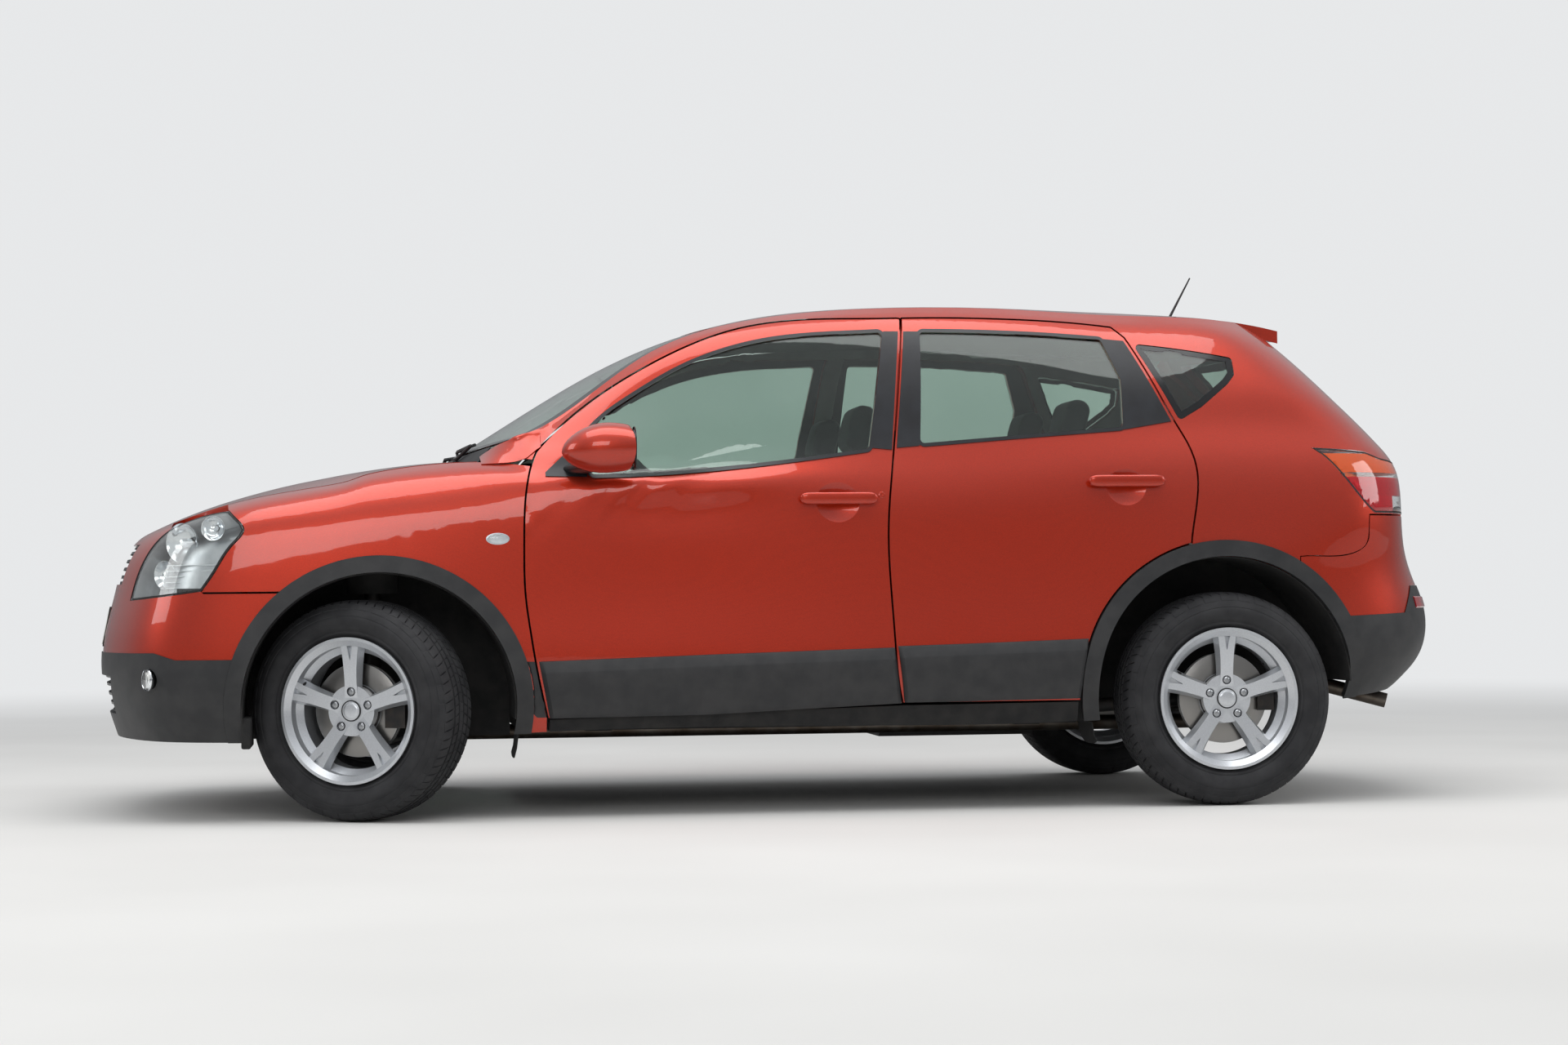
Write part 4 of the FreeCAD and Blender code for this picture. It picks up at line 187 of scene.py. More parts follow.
def woven_cloth(name, colour, thread, thread_mm=2.6):
    """Woven polyester: warp and weft cross every few millimetres, and loose fibres give a soft sheen."""
    made, tree, shader = material(name, colour, 0.9, **{"Sheen Weight": 0.25, "Sheen Roughness": 0.5})
    place = coordinates(tree, thread_mm * 2)
    warp, weft = [node(tree, "ShaderNodeTexWave", {"Vector": place, "Scale": 1.0, "Distortion": 0.4},
                       bands_direction=along) for along in "XZ"]
    both = node(tree, "ShaderNodeMath", {0: warp.outputs[0], 1: weft.outputs[0]}, operation="MULTIPLY")
    mixed = node(tree, "ShaderNodeMix", {
        0: both.outputs[0], 6: linear(colour), 7: linear(thread)}, data_type="RGBA")
    tree.links.new(mixed.outputs[2], shader.inputs["Base Color"])
    bump = node(tree, "ShaderNodeBump", {"Height": both.outputs[0], "Distance": 0.0004, "Strength": 0.8})
    tree.links.new(bump.outputs[0], shader.inputs["Normal"])
    return made


def turned_steel(name, colour):
    """Grey iron skimmed on a lathe: fine rings run round it and streak the light."""
    made, tree, shader = material(name, colour, 0.32, 1.0)
    place = node(tree, "ShaderNodeTexCoord")
    flat = node(tree, "ShaderNodeVectorMath", {
        0: place.outputs["Object"], 1: (1.0, 0.0, 1.0)}, operation="MULTIPLY")
    radius = node(tree, "ShaderNodeVectorMath", {0: flat.outputs[0]}, operation="LENGTH")
    # Tool marks are 0.2 mm apart; drawn at 1.5 mm so that they show
    rings = node(tree, "ShaderNodeMath", {
        0: radius.outputs["Value"], 1: 2 * math.pi / 0.0015}, operation="MULTIPLY")
    wave = node(tree, "ShaderNodeMath", {0: rings.outputs[0]}, operation="SINE")
    bump = node(tree, "ShaderNodeBump", {"Height": wave.outputs[0], "Distance": 0.00004, "Strength": 0.6})
    tree.links.new(bump.outputs[0], shader.inputs["Normal"])
    return made


FINISH = {}


def make_finishes(look):
    """Every finish of the vehicle, named for its real material."""
    paint, shade = ["#%02X%02X%02X" % tuple(round(255 * c * share) for c in look.paint_colour)
                    for share in (1.0, 0.72)]
    FINISH["paint"] = lacquer("metallic_lacquer", paint, shade)
    # Bumper, flare and sill plastic left unpainted
    FINISH["plastic"] = moulded_plastic("moulded_polypropylene", "#1D1E20", "#2A2A2B", 0.55)
    FINISH["smooth_plastic"] = moulded_plastic("smooth_black_abs", "#101113", "#17181A", 0.35, 0.8, 0.01)
    # Matt black vinyl over the pillars' frames
    FINISH["vinyl"] = moulded_plastic("satin_black_vinyl", "#15161A", "#1D1F24", 0.38, 2.0, 0.01)
    # Extruded rubber of seals and wiper blades
    FINISH["seal"] = moulded_plastic("extruded_epdm_rubber", "#0C0C0D", "#141415", 0.7, 1.0, 0.03)
    FINISH["glass"] = float_glass("tempered_float_glass", "#B9CBC2")
    FINISH["screen"] = float_glass("laminated_float_glass", "#C4D4CD")
    # Black enamel fired on the glass's rim, over the glue
    FINISH["enamel"], tree, shader = material("fired_black_enamel", "#08080A", 0.12)
    mottled(tree, shader, "#08080A", "#0D0D10", 12.0)
    FINISH["rubber"], tree, shader = material("vulcanised_tyre_rubber", "#1B1B1D", 0.78)
    mottled(tree, shader, "#17171A", "#29292B", 70.0)
    grain(tree, shader, 1.8, 0.06)
    # Cast alloy under silver paint and clear lacquer
    FINISH["alloy"], tree, shader = material("silver_painted_cast_alloy", "#CDD0D4", 0.33, 0.7, **{
        "Coat Weight": 0.6, "Coat Roughness": 0.08})
    mottled(tree, shader, "#CDD0D4", "#C5C8CC", 4.0)
    FINISH["disc"] = turned_steel("turned_grey_iron", "#8D8B88")
    # Zinc-plated steel of nuts, clips and tubes
    FINISH["zinc"], tree, shader = material("zinc_plated_steel", "#A9ABAE", 0.28, 1.0)
    worn(tree, shader, 0.22, 0.42, 8.0)
    # Aluminium vapour on moulded reflectors, under a clear film
    FINISH["reflector"], tree, shader = material("vapour_coated_reflector", "#E6E9EC", 0.09, 1.0)
    worn(tree, shader, 0.05, 0.16, 40.0)
    FINISH["lens"], tree, shader = material("clear_polycarbonate_lens", "#F2F4F3", 0.02, **{
        "Transmission Weight": 1.0, "IOR": 1.45, "Coat Weight": 0.3})
    worn(tree, shader, 0.01, 0.06, 120.0)
    for key, name, colour in (("red", "red_acrylic_lens", "#C81420"),
                              ("amber", "amber_acrylic_lens", "#F0641E")):
        FINISH[key], tree, shader = material(name, colour, 0.06, **{
            "Transmission Weight": 0.45, "IOR": 1.49, "Coat Weight": 0.6, "Coat Roughness": 0.03})
        grain(tree, shader, 6.0, 0.05, 0.0)
    # Silvered glass of the mirrors
    FINISH["mirror"], tree, shader = material("silvered_mirror_glass", "#D8DEE2", 0.015, 1.0)
    worn(tree, shader, 0.01, 0.03, 30.0)
    FINISH["chrome"], tree, shader = material("chrome_plated_abs", "#DADCDE", 0.07, 1.0)
    worn(tree, shader, 0.05, 0.12, 30.0)
    FINISH["cloth"] = woven_cloth("woven_seat_cloth", "#202226", "#34373D")
    FINISH["knit"] = woven_cloth("knitted_headlining", "#8E8D88", "#A3A29C", 1.8)
    FINISH["carpet"] = woven_cloth("needled_carpet", "#151516", "#262628", 3.2)
    FINISH["dash"] = moulded_plastic("grained_soft_polyurethane", "#1A1B1E", "#212226", 0.6, 1.6, 0.12)
    FINISH["plate"], tree, shader = material("blank_reflective_plate", "#E4E4DE", 0.35)
    grain(tree, shader, 2.5, 0.02, 0.0)
    # Stone-chip coating sprayed on the floor and sills
    FINISH["coat"] = moulded_plastic("sprayed_underbody_coating", "#141415", "#232221", 0.85, 5.0, 0.6)
    FINISH["cast"], tree, shader = material("sand_cast_aluminium", "#77787A", 0.55, 0.8)
    grain(tree, shader, 2.2, 0.25)
    FINISH["steel"], tree, shader = material("black_painted_steel", "#1B1C1D", 0.5, 0.3)
    mottled(tree, shader, "#161718", "#2C2622", 30.0)
    FINISH["pipe"], tree, shader = material("heat_tinted_stainless_steel", "#6F6962", 0.42, 1.0)
    mottled(tree, shader, "#77716A", "#554B42", 90.0)
    FINISH["tank"] = moulded_plastic("blow_moulded_polyethylene", "#141414", "#1D1D1D", 0.6, 6.0, 0.2)
    # Pale grained polypropylene of the pillars' inner covers
    FINISH["liner"] = moulded_plastic("pale_grained_polypropylene", "#8B8A84", "#97968F", 0.6, 1.6, 0.06)
    # Satin aluminium coat on the lamps' inner housings
    FINISH["bezel"], tree, shader = material("satin_silver_lamp_bezel", "#C9CDD0", 0.36, 0.75)
    mottled(tree, shader, "#C9CDD0", "#B9BEC2", 30.0)


# Mesh helpers

def turns(count):
    """Angles at even steps round a circle."""
    return [2 * math.pi * k / count for k in range(count)]


def squared(value, power):
    """A sine or cosine raised to a power with its sign kept: below one, it fills out a circle's corners."""
    return math.copysign(abs(value) ** power, value)


def solid(name, verts, faces, finish, smooth, slots=None):
    """Mesh of points and faces; finish is one key or several, chosen per face by slots."""
    mesh = bpy.data.meshes.new(name)
    mesh.from_pydata([tuple(v) for v in verts], [], [tuple(f) for f in faces])
    for key in (finish,) if isinstance(finish, str) else finish:
        mesh.materials.append(FINISH[key])
    if slots is not None:
        mesh.polygons.foreach_set("material_index", list(slots))
    made = bmesh.new()
    made.from_mesh(mesh)
    bmesh.ops.recalc_face_normals(made, faces=made.faces)
    made.to_mesh(mesh)
    made.free()
    mesh.polygons.foreach_set("use_smooth", [True] * len(mesh.polygons))
    mesh.set_sharp_from_angle(angle=math.radians(smooth))
    return mesh


def placed(name, mesh, body, frame_of=None):
    """Object with a mesh that rides a body."""
    made = bpy.data.objects.new(name, mesh)
    bpy.context.scene.collection.objects.link(made)
    if frame_of is not None:
        made.matrix_world = frame_of
    if body:
        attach(made, body)
    return made


def piece(name, verts, faces, finish, body, smooth=38.0, frame_of=None, slots=None):
    """Object from points and faces that rides a body."""
    return placed(name, solid(name, verts, faces, finish, smooth, slots), body, frame_of)


def joined(*parts):
    """Several (verts, faces) as one."""
    verts, faces = [], []
    for some_verts, some_faces in parts:
        shift = len(verts)
        verts += [tuple(v) for v in some_verts]
        faces += [tuple(i + shift for i in face) for face in some_faces]
    return verts, faces


def moved(part, matrix):
    """A part with its points moved by a matrix."""
    verts, faces = part
    return [matrix @ Vector(v) for v in verts], faces

def net(rows, closed_rows=False, closed_columns=False):
    """Quads over rows of points."""
    count, width = len(rows), len(rows[0])
    verts = [tuple(p) for row in rows for p in row]
    faces = []
    for i in range(count if closed_rows else count - 1):
        for j in range(width if closed_columns else width - 1):
            a, b = i * width + j, i * width + (j + 1) % width
            c, d = ((i + 1) % count) * width + (j + 1) % width, ((i + 1) % count) * width + j
            faces.append((a, b, c, d))
    return verts, faces


def capped(rows):
    """Closed skin over rings of points, with both ends filled."""
    verts, faces = net(rows, closed_columns=True)
    width = len(rows[0])
    faces.append(tuple(range(width)))
    faces.append(tuple(reversed(range(len(verts) - width, len(verts)))))
    return verts, faces


def lathe(profile, steps=48, closed=True):
    """(radius, y) points turned about the Y axis."""
    rows = []
    for i in range(steps):
        angle = 2 * math.pi * i / steps
        rows.append([(r * math.cos(angle), y, r * math.sin(angle)) for r, y in profile])
    return net(rows, closed_rows=True, closed_columns=closed)


def tube(path, radius, sides=12, end_radius=None):
    """Round bar along a smooth path of points."""
    path = [Vector(p) for p in path]
    rows = []
    side = None
    for i, point in enumerate(path):
        ahead = (path[min(i + 1, len(path) - 1)] - path[max(i - 1, 0)]).normalized()
        if side is None:
            side = ahead.orthogonal().normalized()
        side = (side - ahead * side.dot(ahead)).normalized()
        across = ahead.cross(side)
        share = i / (len(path) - 1)
        r = radius if end_radius is None else radius + (end_radius - radius) * share
        rows.append([point + (side * math.cos(a) + across * math.sin(a)) * r for a in turns(sides)])
    return capped(rows)


def smooth_path(points, steps=6):
    """Catmull-Rom points through a few given ones."""
    points = [Vector(p) for p in points]
    points = [points[0] * 2 - points[1]] + points + [points[-1] * 2 - points[-2]]
    path = []
    for a, b, c, d in zip(points, points[1:], points[2:], points[3:]):
        for k in range(steps):
            t = k / steps
            path.append(0.5 * ((2 * b) + (c - a) * t + (2 * a - 5 * b + 4 * c - d) * t * t
                               + (3 * b - a - 3 * c + d) * t ** 3))
    return path + [points[-2]]


def slab(centre, half, radius, steps=4):
    """Block with rounded edges and corners."""
    rows = []
    for i in range(2 * steps + 2):
        upper = i > steps
        lift = math.pi / 2 * ((i - (1 if upper else 0)) / (2 * steps) * 2 - 1)
        ring = []
        for k in range(4 * steps + 4):
            corner = k // (steps + 1)
            turn = math.pi / 2 * (corner + (k % (steps + 1)) / steps)
            sx = 1 if corner in (0, 3) else -1
            sy = 1 if corner in (0, 1) else -1
            ring.append((centre[0] + sx * (half[0] - radius) + radius * math.cos(lift) * math.cos(turn),
                         centre[1] + sy * (half[1] - radius) + radius * math.cos(lift) * math.sin(turn),
                         centre[2] + (1 if upper else -1) * (half[2] - radius) + radius * math.sin(lift)))
        rows.append(ring)
    return capped(rows)


def spline(points, count):
    """Evenly chosen points along a smooth path."""
    path = smooth_path(points, 12)
    return [path[round(i * (len(path) - 1) / (count - 1))] for i in range(count)]


def wheel_frame(end, sign):
    """Where a wheel's own frame lies: Y is its axle, with the outer face at +Y."""
    flip = Matrix.Rotation(0 if sign > 0 else math.pi, 4, "Z")
    if end == "front":
        pin = Matrix.Translation((FRONT_AXLE, sign * KINGPIN_Y, HUB))
        return pin @ Matrix.Rotation(-STEER, 4, "Z") @ Matrix.Translation((0, sign * KINGPIN_INSET, 0)) @ flip
    return Matrix.Translation((REAR_AXLE, sign * REAR_TRACK_HALF, HUB)) @ flip


def cad_faces(name, keep):
    """Points and faces of a CAD node whose centre and normal pass a test."""
    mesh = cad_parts[name].data
    verts, faces, index = [], [], {}
    for face in mesh.polygons:
        if not keep(face.center, face.normal):
            continue
        ring = []
        for i in face.vertices:
            co = mesh.vertices[i].co
            key = (round(co.x, 5), round(co.y, 5), round(co.z, 5))
            if key not in index:
                index[key] = len(verts)
                verts.append(co.copy())
            ring.append(index[key])
        if len(set(ring)) == len(ring):
            faces.append(ring)
    return verts, faces


def trees(*names):
    """Search tree over CAD nodes' faces."""
    verts, faces = [], []
    for name in names:
        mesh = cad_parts[name].data
        shift = len(verts)
        verts += [v.co.copy() for v in mesh.vertices]
        faces += [[i + shift for i in face.vertices] for face in mesh.polygons]
    return BVHTree.FromPolygons(verts, faces)


def side_point(tree, x, z, sign, lift=0.0):
    """Place on a side's outer face at a length and a height, lifted off it, and the face's normal there."""
    hit, normal, _, _ = tree.ray_cast(Vector((x, sign * 1.2, z)), Vector((0, -sign, 0)))
    if hit is None:
        hit, normal, _, _ = tree.find_nearest(Vector((x, sign * 0.88, z)))
    if normal.y * sign < 0:
        normal = -normal
    return hit + normal * lift, normal


def end_point(tree, y, z, facing, lift=0.0):
    """The same at the nose (facing 1) or the tail (facing -1), at a width and a height."""
    hit, normal, _, _ = tree.ray_cast(Vector((facing * 3.0, y, z)), Vector((-facing, 0, 0)))
    if hit is None:
        hit, normal, _, _ = tree.find_nearest(Vector((facing * 2.15, y, z)))
    if normal.x * facing < 0:
        normal = -normal
    return hit + normal * lift, normal


def shell(part, depth):
    """Sheet of faces given a wall: the same faces moved along their normals close it at the back."""
    mesh = bpy.data.meshes.new("scratch")
    mesh.from_pydata([tuple(v) for v in part[0]], [], [tuple(f) for f in part[1]])
    made = bmesh.new()
    made.from_mesh(mesh)
    bmesh.ops.remove_doubles(made, verts=made.verts, dist=0.00002)
    bmesh.ops.recalc_face_normals(made, faces=made.faces)
    bmesh.ops.solidify(made, geom=made.faces[:], thickness=depth)
    made.verts.index_update()
    result = [v.co.copy() for v in made.verts], [[v.index for v in face.verts] for face in made.faces]
    made.free()
    bpy.data.meshes.remove(mesh)
    return result


def rim_loops(part):
    """Closed loops of points round the open edges of a sheet."""
    verts, faces = part
    uses = {}
    for face in faces:
        for a, b in zip(face, list(face[1:]) + [face[0]]):
            uses.setdefault((min(a, b), max(a, b)), []).append((a, b))
    after = {a: b for pairs in uses.values() if len(pairs) == 1 for a, b in pairs}
    loops = []
    while after:
        start, point = after.popitem()
        loop = [start]
        while point != start and point in after:
            loop.append(point)
            point = after.pop(point)
        if len(loop) > 8:
            loops.append([Vector(verts[i]) for i in loop])
    return loops


def evened(loop, step):
    """The loop's points again at even distances."""
    lengths = [0.0]
    ring = loop + loop[:1]
    for a, b in zip(ring, ring[1:]):
        lengths.append(lengths[-1] + (b - a).length)
    count = max(12, int(lengths[-1] / step))
    points, k = [], 0
    for i in range(count):
        at = lengths[-1] * i / count
        while lengths[k + 1] < at:
            k += 1
        share = (at - lengths[k]) / max(lengths[k + 1] - lengths[k], 1e-9)
        points.append(ring[k].lerp(ring[k + 1], share))
    return points


def rim_band(name, keep, width, lift, step=0.02):
    """Strip along the rim of a CAD sheet, lifted off it: enamel on glass, or a seal."""
    sheet = cad_faces(name, keep)
    tree = BVHTree.FromPolygons(sheet[0], sheet[1])
    bands = []
    for loop in rim_loops(sheet):
        loop = evened(loop, step)
        middle = sum(loop, Vector()) / len(loop)
        rows = []
        for i, point in enumerate(loop):
            along = (loop[(i + 1) % len(loop)] - loop[i - 1]).normalized()
            _, normal, _, _ = tree.find_nearest(point)
            inward = normal.cross(along).normalized()
            if inward.dot(middle - point) < 0:
                inward = -inward
            row = []
            for share in (0.0, 0.34, 0.67, 1.0):
                hit, normal, _, _ = tree.find_nearest(point + inward * (0.0012 + width * share))
                if normal.dot(point - Vector((0, 0, 0.8))) < 0:
                    normal = -normal
                row.append(hit + normal * lift)
            rows.append(row)
        bands.append(net(rows, closed_rows=True))
    return joined(*bands)


def cushion(half, radius, shape, count):
    """Dense block with rounded edges, each point then moved by a function of its place in the block."""
    verts, faces = [], []
    for axis in range(3):
        for side in (-1, 1):
            shift = len(verts)
            for i in range(count + 1):
                for j in range(count + 1):
                    point = [0.0, 0.0, 0.0]
                    point[axis] = side * half[axis]
                    point[(axis + 1) % 3] = half[(axis + 1) % 3] * (2 * i / count - 1)
                    point[(axis + 2) % 3] = half[(axis + 2) % 3] * (2 * j / count - 1)
                    core = Vector([max(-h + radius, min(h - radius, p)) for p, h in zip(point, half)])
                    point = Vector(point)
                    away = point - core
                    verts.append(shape(core + away.normalized() * radius if away.length else point))
            for i in range(count):
                for j in range(count):
                    a = shift + i * (count + 1) + j
                    face = (a, a + 1, a + count + 2, a + count + 1)
                    faces.append(face if side > 0 else tuple(reversed(face)))
    return verts, faces


def welded(made, distance=0.0004):
    """Joins the points of an object's mesh that lie on each other."""
    mesh = bmesh.new()
    mesh.from_mesh(made.data)
    bmesh.ops.remove_doubles(mesh, verts=mesh.verts, dist=distance)
    bmesh.ops.recalc_face_normals(mesh, faces=mesh.faces)
    mesh.to_mesh(made.data)
    mesh.free()
    made.data.polygons.foreach_set("use_smooth", [True] * len(made.data.polygons))
    return made


def finished(names, key):
    """Gives CAD nodes a finish."""
    for name in names:
        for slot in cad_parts[name].material_slots:
            slot.material = FINISH[key]


def outward(sign):
    """Test for the outer faces of one side."""
    return lambda centre, normal: normal.y * sign > 0.03 and centre.y * sign > 0


def inward(sign):
    """Test for the other faces of one side."""
    return lambda centre, normal: normal.y * sign <= 0.03 and centre.y * sign > 0


def facing(x, y, z, turn, sign):
    """Frame of a lamp on one side, whose axis is turned from straight out towards the vehicle's end."""
    half_turn = 0 if sign > 0 else 180
    turned = Matrix.Rotation(math.radians(-turn * sign + half_turn), 4, "Z")
    return Matrix.Translation((x, sign * y, z)) @ turned


class CrossoverLook(bpy.types.PropertyGroup):
    paint_colour: bpy.props.FloatVectorProperty(
        name="Paint", description="Colour of the metallic basecoat, as seen on a screen",
        subtype="COLOR_GAMMA", size=3, min=0.0, max=1.0, default=(0.79, 0.185, 0.04))
    groove_depth: bpy.props.FloatProperty(
        name="Tread depth", description="Depth of the tyres' grooves",
        subtype="DISTANCE", unit="LENGTH", default=0.007)
    tread_pitches: bpy.props.IntProperty(
        name="Tread pitches", description="Blocks round each tyre's shoulder", default=72, min=24, max=120)
    lens_wall: bpy.props.FloatProperty(
        name="Lens wall", description="Wall of the lamps' clear covers",
        subtype="DISTANCE", unit="LENGTH", default=0.003)
    plate_width: bpy.props.FloatProperty(
        name="Plate width", description="Width of the blank plates",
        subtype="DISTANCE", unit="LENGTH", default=0.52)


DOORS = ["front_door_left", "front_door_right", "rear_door_left", "rear_door_right"]
# Finishes of the frame's own nodes
NODE_FINISHES = (
    ("paint", DOORS + ["body_sides", "roof", "front_wings", "front_bumper", "rear_bumper",
                       "mirror_left", "mirror_right", "tailgate", "bonnet"]),
    ("plastic", ["front_lower_moulding", "rear_lower_moulding", "arch_mouldings", "scuttle", "aerial",
                 "rear_wiper"]),
    ("vinyl", [door + "_trim" for door in DOORS]),
    ("smooth_plastic", ["grille"]),
    ("glass", [door + "_glass" for door in DOORS] + ["quarter_glass", "tailgate_glass"]),
    ("screen", ["windscreen"]),
    ("coat", ["wheel_liners", "underbody", "door_pillars", "firewall", "boot_floor", "front_frame"]),
    ("cast", ["engine"]),
    ("steel", ["front_suspension", "rear_suspension", "knuckle_left", "knuckle_right"]),
    ("pipe", ["exhaust"]),
    ("tank", ["fuel_tank"]),
    ("dash", ["dashboard", "steering_wheel"]),
    ("cloth", ["front_seats", "rear_seat"]),
    ("alloy", ["wheel_%s_%s" % corner[:2] for corner in CORNERS]),
    ("rubber", ["tyre_%s_%s" % corner[:2] for corner in CORNERS]),
    ("lens", ["headlamps"]),
    ("red", ["tail_lamps"]))


class CROSSOVER_OT_panels(bpy.types.Operator):
    """Paint, plastic, glass and metal on the frame's own nodes"""
    bl_idname = "crossover.panels"
    bl_label = "Finish the panels"

    def execute(self, context):
        make_finishes(context.scene.crossover_look)
        for key, names in NODE_FINISHES:
            finished(names, key)
        return {"FINISHED"}


# The tyre's outer half from the bead to the shoulder, in millimetres: radius and half width
SIDEWALL = (
    (204, 86.2), (217.4, 86.4), (221, 80.5), (226.5, 86.0), (230, 90.6), (232.5, 93.2), (236, 94.0),
    (239.4, 93.2), (241, 95.4), (248, 100.4), (256, 104.0), (265, 106.4), (273, 107.2), (281, 106.7),
    (283, 105.4), (285, 106.2), (292, 104.4), (300, 100.8), (303, 98.2), (306, 98.4), (312, 94.2),
    (318, 88.8))
# Across the tread: half width, radius, and where the point lies: a block's top, a groove or the shoulder
TREAD = (
    (86.0, 321.0, "shoulder"), (80.0, 324.4, "shoulder"), (74.0, 326.6, "shoulder"),
    (66.5, 328.4, "shoulder"), (60.0, 329.3, "shoulder"), (54.0, 329.9, "top"), (48.0, 330.2, "top"),
    (47.0, 330.3, "groove"), (40.0, 330.5, "groove"), (39.0, 330.6, "top"), (29.0, 330.8, "top"),
    (19.0, 330.9, "top"), (18.0, 330.9, "groove"), (11.0, 331.0, "groove"), (10.0, 331.0, "top"),
    (0.0, 331.0, "top"))
# The inside, radius and half width
INNER_WALL = (
    (210, -70), (250, -88), (285, -92), (312, -70), (320, 0), (312, 70), (285, 92), (250, 88), (210, 70))
# Shares of a pitch: the second and third are in the slot
PITCH_STEPS = (0.0, 0.05, 0.13, 0.18, 0.45, 0.72)
# Turn of the slots for each millimetre from the tread's middle
SLOT_LEAN = 0.0011


class CROSSOVER_OT_tyres(bpy.types.Operator):
    """Tyres with grooves, sipes and ribbed sidewalls"""
    bl_idname = "crossover.tyres"
    bl_label = "Build the tyres"

    def execute(self, context):
        look = context.scene.crossover_look
        mesh = self.tyre_mesh(look.tread_pitches, look.groove_depth * 1000)
        for end, side, sign in CORNERS:
            tag = "%s_%s" % (end, side)
            made = placed("tyre_tread_" + tag, mesh, tag + "_wheel", wheel_frame(end, sign))
            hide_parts("tyre_" + tag)
        return {"FINISHED"}

    def tyre_mesh(self, pitches, depth):
        tread = [(r, y, kind) for y, r, kind in TREAD]
        outer = [(r, y, "wall") for r, y in SIDEWALL] + tread[:-1]
        profile = outer + tread[-1:] + [(r, -y, kind) for r, y, kind in reversed(outer)]
        profile += [(r, y, "inside") for r, y in INNER_WALL]
        rows = []
        for pitch in range(pitches):
            for step, share in enumerate(PITCH_STEPS):
                slot = 1 <= step <= 2
                angle = 2 * math.pi * (pitch + share) / pitches
                row = []
                for r, y, kind in profile:
                    turned = angle
                    if kind in ("top", "shoulder", "groove"):
                        # Slots lean across the tread, one way on each side
                        turned += abs(y) * SLOT_LEAN
                    if kind == "groove":
                        r -= depth
                    elif kind == "shoulder" and slot:
                        r -= depth * (0.85 if abs(y) < 80 else 0.4)
                    elif kind == "top" and slot and abs(y) not in (10.0, 48.0):
                        # Sipes stop short of the grooves beside the middle rib and the shoulder
                        r -= depth * 0.45
                    elif kind == "wall" and 306 <= r <= 318 and pitch % 2 and step < 3:
                        r -= 1.2
                        y -= math.copysign(1.0, y)
                    row.append((r * MM * math.cos(turned), y * MM, r * MM * math.sin(turned)))
                rows.append(row)
        return solid("tyre_tread", *net(rows, closed_rows=True, closed_columns=True), "rubber", 32)


# Sections of the wheel fittings, as (radius, distance out along the axle)
CAP = (
    (0.0, 0.0735), (0.009, 0.0734), (0.018, 0.0728), (0.0235, 0.0716), (0.0245, 0.0706), (0.0262, 0.0706),
    (0.0275, 0.0698), (0.0278, 0.066), (0.0, 0.066))
CAP_SEAT = ((0.0283, 0.0692), (0.0305, 0.0700), (0.0318, 0.0692), (0.0322, 0.0672), (0.0283, 0.0672))
NUT = (
    (0.0, 0.0705), (0.0062, 0.0703), (0.0088, 0.0686), (0.0104, 0.0672), (0.0104, 0.0605), (0.0125, 0.0585),
    (0.0128, 0.0555), (0.0, 0.0555))
DISC = (
    (0.079, 0.0242), (0.1395, 0.0242), (0.1404, 0.0236), (0.1404, 0.0150), (0.1385, 0.0146),
    (0.1385, 0.0094), (0.1404, 0.0090), (0.1404, 0.0004), (0.1395, -0.0002), (0.079, -0.0002))
DISC_HAT = ((0.0745, 0.0244), (0.0745, 0.0395), (0.0732, 0.0403), (0.0765, 0.0403), (0.0765, 0.0244))
# Radius of the circle on which the nuts stand
NUT_CIRCLE = 0.05715


class CROSSOVER_OT_wheel_fittings(bpy.types.Operator):
    """Caps, nuts, valves and brake discs of the four wheels"""
    bl_idname = "crossover.wheel_fittings"
    bl_label = "Build the wheel fittings"

    def execute(self, context):
        nut = lathe(NUT, 12, closed=False)
        nuts = []
        for i in range(5):
            angle = math.radians(90 + 72 * i)
            at = Matrix.Translation((NUT_CIRCLE * math.cos(angle), 0, NUT_CIRCLE * math.sin(angle)))
            nuts.append(moved(nut, at))
        valve = tube([(0.158, 0.052, 0.083), (0.1555, 0.061, 0.0815), (0.153, 0.071, 0.080),
                      (0.1508, 0.079, 0.079)], 0.0045, 12, 0.0036)
        # Balance weights clipped to the barrel's inner wall
        weight = slab((0.1765, -0.010, 0), (0.002, 0.011, 0.0052), 0.0012, 2)
        weights = [moved(weight, Matrix.Rotation(math.radians(200 + 4 * k), 4, "Y")) for k in range(5)]
        fittings = (
            ("centre_cap", lathe(CAP, 64, closed=False), "alloy", 40, "alloy"),
            ("cap_seat", lathe(CAP_SEAT, 64), "smooth_plastic", 40, "alloy"),
            ("wheel_nuts", joined(*nuts), "zinc", 30, "alloy"),
            ("tyre_valve", valve, "seal", 40, "tyre_rubber"),
            ("brake_disc", lathe(DISC, 96, closed=False), "disc", 40, "alloy"),
            ("disc_hat", lathe(DISC_HAT, 72), "steel", 40, "alloy"),
            ("balance_weights", joined(*weights), "zinc", 40, "alloy"))
        for end, side, sign in CORNERS:
            tag = "%s_%s" % (end, side)
            for name, part, finish, smooth, slot in fittings:
                made = piece(name + "_" + tag, *part, finish, tag + "_wheel", smooth, wheel_frame(end, sign))
        return {"FINISHED"}


# Width of a lamp's gasket, and how far it stands off the lamp
GASKET = (0.005, 0.0009)
# Section of a lamp's bowl, as (radius, depth)
BOWL = (
    (0.0, -0.040), (0.016, -0.038), (0.034, -0.030), (0.050, -0.016), (0.0575, 0.0), (0.0605, 0.0015),
    (0.0605, -0.002), (0.052, -0.020), (0.035, -0.035), (0.0, -0.044))
